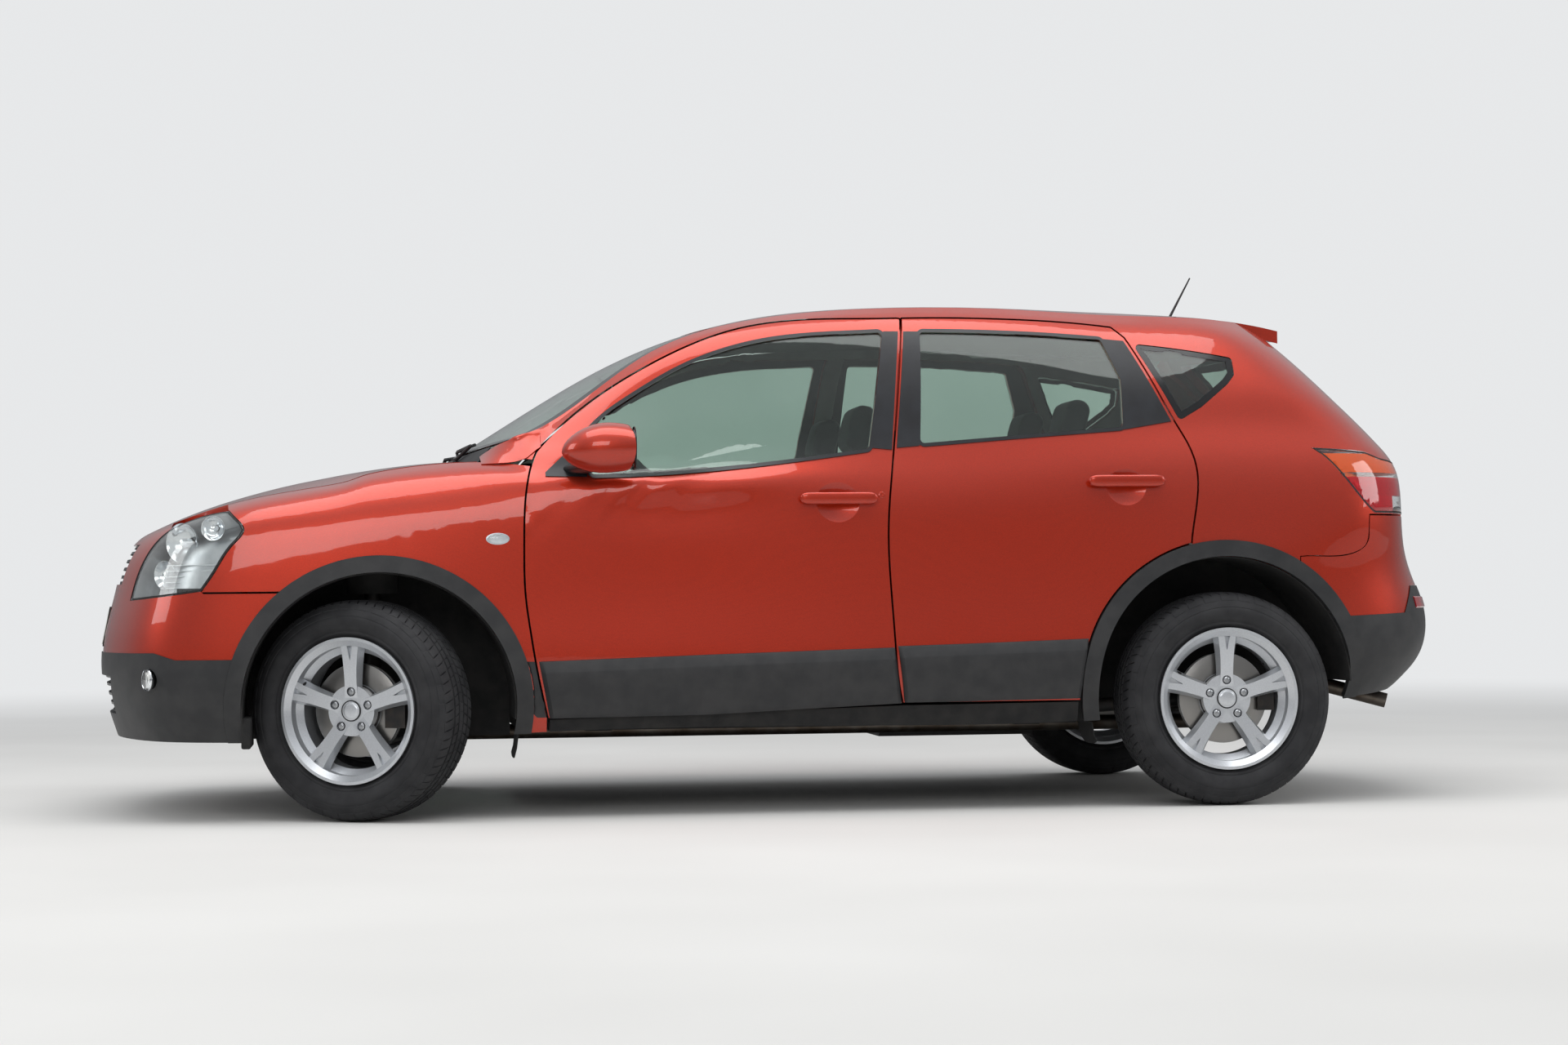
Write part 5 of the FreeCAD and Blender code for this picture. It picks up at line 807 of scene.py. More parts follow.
# A headlamp's bowls: length, half width, height, turn in degrees and size
BOWLS = ((1.872, 0.668, 0.838, 38, 1.0), (1.775, 0.762, 0.880, 22, 0.62), (1.925, 0.640, 0.742, 42, 0.72))


class CROSSOVER_OT_headlamps(bpy.types.Operator):
    """Clear covers over chromed bowls, louvres and a grey bezel"""
    bl_idname = "crossover.headlamps"
    bl_label = "Build the headlamps"

    def execute(self, context):
        wall = context.scene.crossover_look.lens_wall
        covers, buckets, bowls, fins, gaskets = [], [], [], [], []
        for _, sign in SIDES:
            covers.append(shell(cad_faces("headlamps", outward(sign)), wall))
            verts, faces = cad_faces("headlamps", inward(sign))
            middle = Vector((1.85, sign * 0.70, 0.80))
            buckets.append(([middle + (v - middle) * 0.985 for v in verts], faces))
            for x, y, z, turn, share in BOWLS:
                where = facing(x, y, z, turn, sign)
                bowl = lathe([(r * share, d * share) for r, d in BOWL], 48, closed=False)
                bowls.append(moved(bowl, where))
                hood = lathe([(0.0, 0.004), (0.010 * share, 0.002), (0.014 * share, -0.006),
                              (0.014 * share, -0.034 * share)], 24, closed=False)
                fins.append(moved(hood, where))
            for k in range(5):
                z = 0.700 + 0.017 * k
                rows = []
                for x in [1.765 + 0.155 * i / 8 for i in range(9)]:
                    y = sign * (0.772 - (x - 1.765) * 0.62)
                    back = y - sign * 0.020
                    rows.append([(x, back, z), (x, y, z + 0.001), (x, y, z + 0.003), (x, back, z + 0.004)])
                fins.append(capped(rows))
            gaskets.append(rim_band("headlamps", outward(sign), *GASKET))
        made = piece("headlamp_covers", *joined(*covers), "lens", "chassis", 40)
        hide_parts("headlamps")
        for name, parts, finish, smooth in (
                ("buckets", buckets, "bezel", 30), ("bowls", bowls, "reflector", 40),
                ("louvres", fins, "reflector", 30)):
            piece("headlamp_" + name, *joined(*parts), finish, "chassis", smooth)
        piece("headlamp_gaskets", *joined(*gaskets), "seal", "chassis", 60)
        return {"FINISHED"}


# Zones of a tail lamp from its top down: lowest height and finish
TAIL_ZONES = ((1.094, "lens"), (1.034, "amber"), (1.020, "lens"), (0.0, "red"))
# The clear square of the reverse lamp lies behind this length and below this height
REVERSE_LAMP = (-1.900, 0.962)


class CROSSOVER_OT_tail_lamps(bpy.types.Operator):
    """Tail lamps in amber, red and clear, with their dark gasket"""
    bl_idname = "crossover.tail_lamps"
    bl_label = "Build the tail lamps"

    def execute(self, context):
        keys = ["lens", "amber", "red"]
        verts, faces, slots = [], [], []
        backs, gaskets = [], []
        for _, sign in SIDES:
            part = cad_faces("tail_lamps", outward(sign))
            mesh = bpy.data.meshes.new("scratch")
            mesh.from_pydata([tuple(v) for v in part[0]], [], [tuple(f) for f in part[1]])
            made = bmesh.new()
            made.from_mesh(mesh)
            cuts = [((0, 0, low), (0, 0, 1)) for low, _ in TAIL_ZONES[:-1]]
            cuts += [((REVERSE_LAMP[0], 0, 0), (1, 0, 0)), ((0, 0, REVERSE_LAMP[1]), (0, 0, 1))]
            for at, across in cuts:
                bmesh.ops.bisect_plane(made, geom=made.verts[:] + made.edges[:] + made.faces[:], dist=1e-6,
                                       plane_co=at, plane_no=across)
            made.verts.index_update()
            shift = len(verts)
            verts += [v.co.copy() for v in made.verts]
            for face in made.faces:
                middle = face.calc_center_median()
                key = next(finish for low, finish in TAIL_ZONES if middle.z > low)
                if key == "red" and middle.x < REVERSE_LAMP[0] and middle.z < REVERSE_LAMP[1]:
                    key = "lens"
                faces.append([v.index + shift for v in face.verts])
                slots.append(keys.index(key))
            made.free()
            middle = Vector((-1.80, sign * 0.74, 1.0))
            back = cad_faces("tail_lamps", inward(sign))
            backs.append(([middle + (v - middle) * 0.97 for v in back[0]], back[1]))
            gaskets.append(rim_band("tail_lamps", outward(sign), *GASKET))
        made = piece("tail_lamp_covers", verts, faces, keys, "chassis", 40, slots=slots)
        made.modifiers.new("wall", "SOLIDIFY").thickness = context.scene.crossover_look.lens_wall
        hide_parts("tail_lamps")
        piece("tail_lamp_reflectors", *joined(*backs), "reflector", "chassis", 30)
        piece("tail_lamp_gaskets", *joined(*gaskets), "seal", "chassis", 60)
        return {"FINISHED"}


# Side repeater in the wing, as length and height of its middle, then half length and half height
REPEATER = (0.932, 0.841, 0.031, 0.0155)
# Section of a fog lamp's glass and of its bowl, as (radius, depth)
FOG_GLASS = ((0.0, 0.009), (0.012, 0.0083), (0.022, 0.0062), (0.030, 0.0020), (0.0318, -0.002), (0.0, -0.002))
FOG_BOWL = ((0.0335, 0.0), (0.0325, 0.0035), (0.0318, 0.0), (0.026, -0.012), (0.014, -0.020), (0.0, -0.023))
# Section of a rear reflector, as (height, distance off the bumper)
REFLECTOR = (
    (0.605, 0.0005), (0.609, 0.004), (0.638, 0.004), (0.642, 0.0005), (0.638, -0.001), (0.609, -0.001))


class CROSSOVER_OT_small_lamps(bpy.types.Operator):
    """Side repeaters, fog lamps, rear reflectors and the high brake lamp"""
    bl_idname = "crossover.small_lamps"
    bl_label = "Build the small lamps"

    def execute(self, context):
        wings, gate = trees("front_wings"), trees("tailgate")
        tail = trees("rear_lower_moulding", "rear_bumper")
        repeaters, bases, fogs, fog_bowls, reflectors = [], [], [], [], []
        x, z, half_length, half_height = REPEATER
        for _, sign in SIDES:
            for part, scale, rise in ((repeaters, 1.0, 0.0055), (bases, 1.14, 0.0016)):
                rows = []
                for ring in range(6):
                    share = scale * math.cos(math.pi / 2 * ring / 5)
                    lift = 0.0004 + rise * math.sin(math.pi / 2 * ring / 5)
                    rows.append([side_point(wings, x + half_length * share * math.cos(a),
                                            z + half_height * share * math.sin(a), sign, lift)[0]
                                 for a in turns(28)])
                part.append(capped(rows))
            where = facing(1.969, 0.772, 0.429, 62, sign)
            fogs.append(moved(lathe(FOG_GLASS, 40, closed=False), where))
            fog_bowls.append(moved(lathe(FOG_BOWL, 40, closed=False), where))
            rows = []
            for i in range(9):
                y = sign * (0.560 + 0.150 * i / 8)
                rows.append([end_point(tail, y, height, -1, lift)[0] for height, lift in REFLECTOR])
            reflectors.append(capped(rows))
        for name, parts, finish in (
                ("repeater_lenses", repeaters, "lens"), ("repeater_bases", bases, "bezel"),
                ("fog_lamp_lenses", fogs, "lens"), ("fog_lamp_bowls", fog_bowls, "reflector")):
            piece(name, *joined(*parts), finish, "chassis", 50)
        piece("rear_reflectors", *joined(*reflectors), "red", "chassis", 30)
        rows = []
        for i in range(17):
            y = -0.160 + 0.320 * i / 16
            high, low = [end_point(gate, y, height, -1, 0)[0] for height in (1.514, 1.502)]
            rows.append([at + Vector((dx, 0, 0))
                         for at, dx in ((high, 0.001), (high, -0.005), (low, -0.005), (low, 0.001))])
        piece("high_brake_lamp", *capped(rows), "red", "tailgate_lid", 30)
        return {"FINISHED"}


# Middle of a door mirror, in half width and height
MIRROR_MIDDLE = (0.962, 1.107)
# The mirror's pane and the rim round it: share of the opening, and distance before the shell's rear end
MIRROR_PANE = ((0.84, 0.002), (0.86, -0.0006), (0.80, -0.0016))
MIRROR_RIM = ((0.99, 0.0005), (0.98, -0.0022), (0.90, -0.0030), (0.875, -0.0022), (0.872, 0.002))


class CROSSOVER_OT_glazing(bpy.types.Operator):
    """Fired enamel round the windscreen, rear window and quarter panes, and the door mirrors' glass"""
    bl_idname = "crossover.glazing"
    bl_label = "Build the glass borders"

    def execute(self, context):
        top = rim_band("windscreen", lambda c, n: n.z > 0.2, 0.045, 0.0006, 0.03)
        piece("windscreen_enamel", *top, "enamel", "chassis", 60)
        rear = rim_band("tailgate_glass", lambda c, n: n.x < -0.3, 0.035, 0.0006)
        piece("rear_window_enamel", *rear, "enamel", "tailgate_lid", 60)
        quarters = [rim_band("quarter_glass", outward(sign), 0.020, 0.0006, 0.012) for _, sign in SIDES]
        piece("quarter_enamel", *joined(*quarters), "enamel", "chassis", 60)
        for side, sign in SIDES:
            low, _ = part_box("mirror_" + side)
            glass, edge = [[self.ring(low[0] + dx, sign, share) for share, dx in section]
                           for section in (MIRROR_PANE, MIRROR_RIM)]
            body = "front_%s_door" % side
            piece("mirror_glass_" + side, *capped(glass), "mirror", body, 30)
            piece("mirror_edge_" + side, *net(edge, closed_columns=True), "smooth_plastic", body, 40)
        return {"FINISHED"}

    def ring(self, x, sign, share):
        """Rounded outline in the mirror's opening, which is nine tenths of the shell's full section."""
        share *= 0.90
        return [(x, sign * MIRROR_MIDDLE[0] + squared(math.cos(a), 0.85) * 0.091 * share,
                 MIRROR_MIDDLE[1] + squared(math.sin(a), 0.85) * 0.073 * share) for a in turns(48)]


# The mirror's shell from its rear edge forwards, in millimetres, and the share of its full section there
MIRROR_ROWS = (
    (-6, 0.70), (-4, 0.86), (0, 0.90), (8, 0.925), (26, 0.955), (50, 0.985), (80, 1.0), (104, 0.985),
    (126, 0.93), (148, 0.84), (168, 0.72), (184, 0.59), (197, 0.45), (207, 0.30), (213, 0.15), (215, 0.03))


class CROSSOVER_OT_mirrors(bpy.types.Operator):
    """Door mirrors: tapered shells on black feet"""
    bl_idname = "crossover.mirrors"
    bl_label = "Build the door mirrors"

    def execute(self, context):
        out, height = MIRROR_MIDDLE
        for side, sign in SIDES:
            low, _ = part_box("mirror_" + side)
            body = "front_%s_door" % side
            rows = []
            for ahead, share in MIRROR_ROWS:
                x = low[0] + max(0.0, ahead * MM)
                drop = -0.010 * (ahead / 215) ** 2
                row = []
                for angle in turns(56):
                    c, s = math.cos(angle), math.sin(angle)
                    across = squared(c, 0.86) * 0.094 * share
                    up = squared(s, 0.92) * (0.078 if s > 0 else 0.072) * share
                    # The rear edge leans: its middle reaches furthest back
                    slant = 0.020 * (abs(up) / 0.075) ** 2 * max(0.0, 1 - max(0, ahead) / 90)
                    row.append((x + slant, sign * (out + across), height + up + drop))
                rows.append(row)
            made = piece("mirror_shell_" + side, *net(rows, closed_columns=True), "paint", body, 60)
            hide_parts("mirror_" + side)
            foot = []
            for t in [k / 8 for k in range(9)]:
                y = sign * (0.792 + 0.150 * t)
                x = 0.705 - 0.055 * t
                z = 1.052 - 0.004 * t + 0.010 * t * t
                foot.append([(x + (0.040 - 0.004 * t) * squared(math.cos(a), 0.8), y,
                              z + (0.0135 + 0.006 * t) * math.sin(a)) for a in turns(32)])
            piece("mirror_foot_" + side, *capped(foot), "smooth_plastic", body, 50)
        return {"FINISHED"}


# Door cladding in the side view, in metres: a line of its top and one of its bottom, front to rear
CLADDING = {
    "front": (((0.812, 0.472), (0.300, 0.487), (-0.270, 0.502)),
              ((0.779, 0.300), (0.300, 0.305), (-0.293, 0.331))),
    "rear": (((-0.281, 0.506), (-0.500, 0.511), (-0.878, 0.522)),
             ((-0.303, 0.333), (-0.500, 0.334), (-0.853, 0.338)))}
# Depth below the top line (above the bottom line where negative), and how far the face stands out there
CLADDING_SECTION = (
    (0.0, 0.0004), (0.0015, 0.0048), (0.006, 0.0072), (0.034, 0.0152), (0.037, 0.0158), (0.060, 0.0158),
    (-0.040, 0.0158), (-0.014, 0.0158), (-0.006, 0.0145), (0.0, 0.0105), (0.0, 0.0004))


def along_line(line, x):
    """Height of a line of (length, height) points at a length."""
    for (xa, za), (xb, zb) in zip(line, line[1:]):
        if x >= xb:
            break
    return za + (zb - za) * (x - xa) / (xb - xa)


class CROSSOVER_OT_doors(bpy.types.Operator):
    """Bevelled cladding, window trims and rounded pull handles of the doors"""
    bl_idname = "crossover.doors"
    bl_label = "Trim the doors"

    def execute(self, context):
        for side, sign in SIDES:
            for end, x, z in (("front", -0.102, 0.958), ("rear", -1.004, 1.008)):
                door, body = "%s_door_%s" % (end, side), "%s_%s_door" % (end, side)
                tag = "_%s_%s" % (end, side)
                tree = trees(door)
                made = piece("cladding" + tag, *self.cladding(tree, end, sign), "plastic", body, 30)
                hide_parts(door + "_trim")
                upper = cad_faces(door + "_trim", lambda c, n: c.z > 0.8)
                piece("window_trim" + tag, *upper, "vinyl", body, 30)
                bar = self.handle(tree, x, z, sign)
                piece("pull_handle" + tag, *bar, "paint", body, 50)
        return {"FINISHED"}

    def cladding(self, tree, end, sign):
        """Bevelled panel over the door's foot: thin at both ends, where it falls back to the door."""
        top, bottom = CLADDING[end]
        rows = []
        count = 44
        for i in range(count + 1):
            # Columns crowd at both ends
            share = 0.5 - 0.5 * math.cos(math.pi * (i / count))
            x_top, x_low = [line[0][0] + (line[-1][0] - line[0][0]) * share for line in (top, bottom)]
            z_top, z_low = along_line(top, x_top), along_line(bottom, x_low)
            rise = min(1.0, 0.25 + min(abs(x_top - top[0][0]), abs(x_top - top[-1][0])) / 0.014)
            row = []
            for k, (depth, lift) in enumerate(CLADDING_SECTION):
                z = (z_top if depth >= 0 and k < 6 else z_low) - depth
                x = x_top + (x_low - x_top) * ((z_top - z) / (z_top - z_low))
                base = side_point(tree, x, max(z, z_low + 0.016), sign)[0]
                row.append((x, base.y + sign * max(0.0004, lift * rise), z))
            rows.append(row)
        rows.insert(0, [(x, y - sign * 0.003, z) for x, y, z in rows[0]])
        rows.append([(x, y - sign * 0.003, z) for x, y, z in rows[-1]])
        return net(rows)

    def handle(self, tree, x, z, sign):
        """Bar rounded over its whole length, a little larger than the bar that it covers."""
        middle = side_point(tree, x, z, sign)[0]
        rows = []
        for k in range(33):
            along = -0.1205 + 0.241 * k / 32
            fade = (1 - (abs(along) / 0.1207) ** 12) ** 0.5
            rows.append([(x + along, middle.y + sign * (0.0102 * squared(math.cos(a), 0.55) * fade - 0.0072),
                          z + 0.0180 * squared(math.sin(a), 0.6) * fade) for a in turns(24)])
        return capped(rows)


# Pillar foot between the front door's gap, the wing and the windscreen, as (length, half width, height)
FOOT_LOW = (
    (0.795, 0.757, 1.121), (0.810, 0.763, 1.111), (0.825, 0.7695, 1.0985), (0.840, 0.7735, 1.0865),
    (0.860, 0.771, 1.079), (0.880, 0.766, 1.0745), (0.920, 0.757, 1.0715), (0.960, 0.7495, 1.0695),
    (0.975, 0.747, 1.0690))
FOOT_HIGH = (
    (0.795, 0.704, 1.180), (0.810, 0.705, 1.174), (0.825, 0.706, 1.168), (0.840, 0.706, 1.163),
    (0.860, 0.703, 1.154), (0.880, 0.697, 1.148), (0.920, 0.674, 1.131), (0.960, 0.643, 1.107),
    (0.975, 0.635, 1.096))


class CROSSOVER_OT_pillar_feet(bpy.types.Operator):
    """Smooth body-colour corners under the windscreen pillars"""
    bl_idname = "crossover.pillar_feet"
    bl_label = "Build the pillar feet"

    def execute(self, context):
        sides = trees("body_sides")
        feet = []
        for _, sign in SIDES:
            rows = []
            for a, b in zip(spline(FOOT_LOW, 24), spline(FOOT_HIGH, 24)):
                # The rear end lies on the pillar's own surface, and leaves it over 45 mm
                blend = max(0.0, min(1.0, (a.x - 0.795) / 0.045))
                blend = blend * blend * (3 - 2 * blend)
                row = []
                for k in range(13):
                    t = k / 12
                    point = a.lerp(b, t) + Vector((0, 0.8, 0.6)) * 0.010 * t * (1 - t)
                    if point.x < 0.890:
                        hit, _ = side_point(sides, point.x, point.z, sign)
                        surface = abs(hit.y) + 0.0006
                        if abs(hit.x - point.x) < 0.004 and abs(hit.z - point.z) < 0.004:
                            point.y = max(surface, surface + (point.y - surface) * blend)
                    row.append((point.x, sign * point.y, point.z))
                rows.append(row)
            feet.append(shell(net(rows), -0.0025 * sign))
        piece("pillar_feet", *joined(*feet), "paint", "chassis", 50)
        return {"FINISHED"}


# Front wing's rear edge, as (height, length), and the front arch's centre and its moulding's outer radius
WING_EDGE = ((0.480, 0.8195), (0.392, 0.803), (0.300, 0.7825))
ARCH_CENTRE = (1.285, 0.336)
ARCH_BAND = 0.458
# Radius of the wheel houses' walls, and height of the air flaps' upper edge
HOUSE_RADIUS = 0.404
FLAP_TOP = 0.262


class CROSSOVER_OT_wheel_houses(bpy.types.Operator):
    """Inner walls of the wheel arches and the flaps before and behind the wheels"""
    bl_idname = "crossover.wheel_houses"
    bl_label = "Close the wheel houses"

    def execute(self, context):
        walls, flaps = [], []
        for _, sign in SIDES:
            for x, z, foot in ((1.285, 0.336, 0.235), (-1.318, 0.365, 0.30)):
                arc = [(x + HOUSE_RADIUS * math.cos(a), z + HOUSE_RADIUS * math.sin(a)) for a in
                       [math.pi * k / 32 for k in range(33)]]
                outline = [(x + HOUSE_RADIUS, foot)] + arc + [(x - HOUSE_RADIUS, foot)]
                rows = [[(px, sign * y, pz) for px, pz in outline] for y in (0.4665, 0.4685)]
                walls.append(capped(rows))
            for x, lean, drop, first in ((0.872, 0.012, 0.085, 0.60), (-0.902, -0.016, 0.070, 0.62)):
                rows = []
                for i in range(7):
                    y = sign * (first + (0.80 - first) * i / 6)
                    edge = 0.012 * (2 * i / 6 - 1) ** 4
                    face = [(x, FLAP_TOP), (x + lean * 0.5, FLAP_TOP - drop * 0.6),
                            (x + lean, FLAP_TOP - drop + edge)]
                    rows.append([(px, y, pz) for px, pz in face]
                                + [(px - 0.003, y, pz) for px, pz in reversed(face)])
                flaps.append(capped(rows))
            # Closing panel under the bumper's rear corner
            walls.append(slab((1.678, sign * 0.725, 0.268), (0.014, 0.115, 0.046), 0.006, 3))
        piece("wheel_house_walls", *joined(*walls), "coat", "chassis", 30)
        piece("air_flaps", *joined(*flaps), "seal", "chassis", 40)
        wings, fronts = trees("front_wings"), trees("front_wings", "front_bumper")
        feet, backings = [], []
        for _, sign in SIDES:
            rows = []
            for k in range(15):
                z = 0.304 + 0.168 * k / 14
                x_door = along_line(WING_EDGE, z) + 0.004
                x_arch = ARCH_CENTRE[0] - math.sqrt(ARCH_BAND ** 2 - (z - ARCH_CENTRE[1]) ** 2) + 0.002
                rows.append([side_point(wings, x_door + (x_arch - x_door) * share, z, sign, lift)[0]
                             for share, lift in ((0.0, 0.0004), (0.03, 0.0022), (0.3, 0.0028), (0.7, 0.0028),
                                                 (0.97, 0.0022), (1.0, 0.0004))])
            feet.append(net(rows))
            # Flange behind the seam of wing and bumper
            rows = []
            for k in range(13):
                x = 1.690 + 0.190 * k / 12
                at = side_point(fronts, x, 0.640, sign)[0]
                rows.append([(x, at.y - sign * depth, z) for depth, z in (
                    (0.022, 0.640), (0.022, 0.700), (0.024, 0.700), (0.024, 0.640))])
            backings.append(capped(rows))
        piece("wing_feet", *joined(*feet), "plastic", "chassis", 40)
        piece("bumper_flanges", *joined(*backings), "seal", "chassis", 40)
        return {"FINISHED"}


def seat_shape(half, crown, bolster, channels, axis):
    """Moves a block's points into a pad: crowned middle, raised edges, sewn channels and waisted sides."""
    def shape(p):
        across, face = p.y / half[1], p[axis] / half[axis]
        along = p.x / half[0] if axis == 2 else p.z / half[2]
        if face > 0.2:
            share = min(1.0, (face - 0.2) / 0.8)
            lift = crown * (1 - along * along) * (1 - across * across)
            edge = max(0.0, min(1.0, (abs(across) - 0.52) / 0.28))
            lift += bolster * edge * edge * (3 - 2 * edge) * (1 - along ** 6)
            seam = math.exp(-((abs(across) - 0.56) / 0.028) ** 2)
            if abs(across) < 0.56:
                seam = max([seam] + [math.exp(-((along - at) / 0.022) ** 2) for at in channels])
            lift -= 0.007 * seam
            p[axis] += lift * share
        pull = 0.010 * (1 - along * along) * (1 - face * face)
        p.y -= math.copysign(pull, p.y) * min(1.0, abs(across) * 1.5)
        return p
    return shape


# Seat rows: name, length, places across, width of a place, height of its base, and whether seats are single
SEAT_ROWS = (("front", -0.070, (0.355, -0.355), 0.51, 0.4183, True),
             ("rear", -0.780, (0.325, -0.325), 0.64, 0.4383, False))
# Backrests lean by these degrees
BACK_LEAN = -14


class CROSSOVER_OT_seats(bpy.types.Operator):
    """Upholstered seats: cushions, backrests, head restraints, their posts and side covers"""
    bl_idname = "crossover.seats"
    bl_label = "Build the seats"

    def execute(self, context):
        for row in SEAT_ROWS:
            self.row(*row)
        return {"FINISHED"}

    def row(self, tag, x, places, width, floor, single):
        pads, posts, covers = [], [], []
        for i, y in enumerate(places):
            number = "_%s_%d" % (tag, i + 1)
            base = Matrix.Translation((x + 0.26, y, floor + 0.060))
            lean = Matrix.Translation((x - 0.060, y, floor + 0.030))
            lean = lean @ Matrix.Rotation(math.radians(BACK_LEAN), 4, "Y")
            # Name, half size, edge radius, crown, bolster, channels, axis of the face, grid, frame and fill
            for name, half, radius, crown, bolster, channels, axis, count, where, fill in (
                    ("seat_cushion", (0.250, width / 2 - 0.012, 0.052), 0.038, 0.012,
                     0.022 if single else 0.006, (-0.25, 0.35), 2, 22, base, 0.7),
                    ("seat_back", (0.047, width / 2 - 0.014, 0.305), 0.036, 0.012,
                     0.024 if single else 0.008, (-0.45, 0.1, 0.62), 0, 22,
                     lean @ Matrix.Translation((0.0575, 0, 0.320)), 0.7),
                    ("head_restraint", (0.038, 0.118, 0.076), 0.034, 0.010, 0.0, (), 0, 16,
                     lean @ Matrix.Translation((0.065, 0, 0.752)), 0.8)):
                pad = cushion(half, radius, seat_shape(half, crown, bolster, channels, axis), count)
                pads.append((name + number, moved(pad, where), fill))
            for side in (-0.055, 0.055):
                post = tube([(0.062, side, 0.60), (0.062, side, 0.64), (0.064, side, 0.70)], 0.0065)
                posts.append(moved(post, lean))
            covers.append(slab((x + 0.235, y, floor - 0.072), (0.165, width / 2 - 0.055, 0.056), 0.012))
            if single:
                for side in (-1, 1):
                    at = y + side * (width / 2 - 0.004)
                    covers.append(slab((x + 0.20, at, floor + 0.030), (0.215, 0.010, 0.042), 0.009))
        for k, (name, part, fill) in enumerate(pads):
            made = welded(piece(name, *part, "cloth", "chassis", 80))
            if k == 0:
                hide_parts(tag + ("_seats" if single else "_seat"))
        piece("head_restraint_posts_" + tag, *joined(*posts), "chrome", "chassis", 40)
        piece("seat_covers_" + tag, *joined(*covers), "dash", "chassis", 35)


class CROSSOVER_OT_cabin(bpy.types.Operator):
    """Headlining, door cards with armrests, pillar covers, carpet, instruments and console"""
    bl_idname = "crossover.cabin"
    bl_label = "Line the cabin"

    def execute(self, context):
        def lining(name, node_name, keep, shift, key, body):
            verts, faces = cad_faces(node_name, keep)
            piece(name, [v + Vector(shift) for v in verts], faces, key, body, 40)

        lining("headlining", "roof", lambda c, n: n.z < -0.4 and c.x > -1.40,
               (0, 0, -0.003), "knit", "chassis")
        lining("cabin_carpet", "underbody", lambda c, n: n.z > 0.6 and abs(c.y) < 0.66 and c.z < 0.42,
               (0, 0, 0.0035), "carpet", "chassis")
        lining("boot_carpet", "boot_floor", lambda c, n: n.z > 0.6,
               (0, 0, 0.004), "carpet", "chassis")
        for side, sign in SIDES:
            for end, x in (("front", 0.22), ("rear", -0.66)):
                tag, body = "_%s_%s" % (end, side), "%s_%s_door" % (end, side)
                lining("door_card" + tag, "%s_door_%s" % (end, side),
                       lambda c, n: n.y * sign < -0.5 and abs(c.y) < 0.80,
                       (0, -sign * 0.003, 0), "dash", body)
                rest = slab((x, sign * 0.722, 0.80), (0.20, 0.020, 0.026), 0.016, 5)
                pull = tube(smooth_path([(x + 0.13, sign * 0.740, 0.90), (x + 0.11, sign * 0.716, 0.905),
                                         (x - 0.01, sign * 0.712, 0.915), (x - 0.03, sign * 0.740, 0.92)]),
                            0.008, 10)
                piece("door_armrest" + tag, *joined(rest, pull), "dash", body, 40)
            lining("pillar_covers_" + side, "body_sides",
                   lambda c, n: n.y * sign < -0.35 and c.y * sign > 0 and c.x > -1.5,
                   (0, -sign * 0.003, 0), "liner", "chassis")
        hood = []
        for i in range(13):
            share = 2 * i / 12 - 1
            y = 0.360 + 0.165 * share
            top = 1.030 + 0.020 * (1 - share ** 4)
            hood.append([(0.640, y, 0.985), (0.560, y, top - 0.012), (0.520, y, top - 0.004),
                         (0.512, y, top - 0.010), (0.555, y, 0.985)])
        vents = []
        for y in (0.60, 0.10, -0.10, -0.60):
            vents.append(slab((0.512, y, 0.930), (0.008, 0.062, 0.030), 0.006, 3))
            vents += [slab((0.503, y, 0.914 + 0.011 * k), (0.003, 0.052, 0.0022), 0.0015, 2)
                      for k in range(4)]
        knob = lathe([(0.0, 0.020), (0.014, 0.019), (0.017, 0.012), (0.018, 0.0), (0.0, 0.0)], 24,
                     closed=False)
        knobs = [moved(knob, Matrix.Translation((0.500, y, 0.70)) @ Matrix.Rotation(math.radians(90), 4, "Z"))
                 for y in (0.055, 0.0, -0.055)]
        screen = slab((0.507, 0.0, 0.835), (0.006, 0.082, 0.045), 0.005, 3)
        stick = tube(smooth_path([(0.30, 0.0, 0.592), (0.29, 0.0, 0.66), (0.275, 0.0, 0.715)]), 0.009)
        grip = slab((0.272, 0.0, 0.728), (0.022, 0.020, 0.022), 0.017, 5)
        brake = tube(smooth_path([(-0.02, 0.035, 0.60), (0.06, 0.035, 0.625), (0.15, 0.035, 0.645)]),
                     0.014, 12, 0.012)
        stalks = [tube([(0.44, 0.36, 0.90), (0.425, near, 0.915), (0.415, far, 0.925)], 0.008, 10, 0.010)
                  for near, far in ((0.46, 0.53), (0.26, 0.19))]
        back = slab((0.535, 0.0, 1.352), (0.012, 0.112, 0.030), 0.011, 4)
        stem = tube([(0.545, 0.0, 1.372), (0.560, 0.0, 1.394), (0.572, 0.0, 1.4035)], 0.008, 10)
        for name, part, finish, smooth in (
                ("instrument_hood", capped(hood), "dash", 40),
                ("dash_vents", joined(*vents), "smooth_plastic", 35),
                ("dash_knobs", joined(*knobs, screen), "smooth_plastic", 40),
                ("gear_lever", joined(stick, grip, brake), "dash", 40),
                ("column_stalks", joined(*stalks), "smooth_plastic", 40),
                ("inner_mirror_back", joined(back, stem), "smooth_plastic", 40)):
            piece(name, *part, finish, "chassis", smooth)
        glass = slab((0.5222, 0.0, 1.352), (0.0012, 0.106, 0.025), 0.001, 2)
        piece("inner_mirror_glass", *glass, "mirror", "chassis", 30)
        return {"FINISHED"}


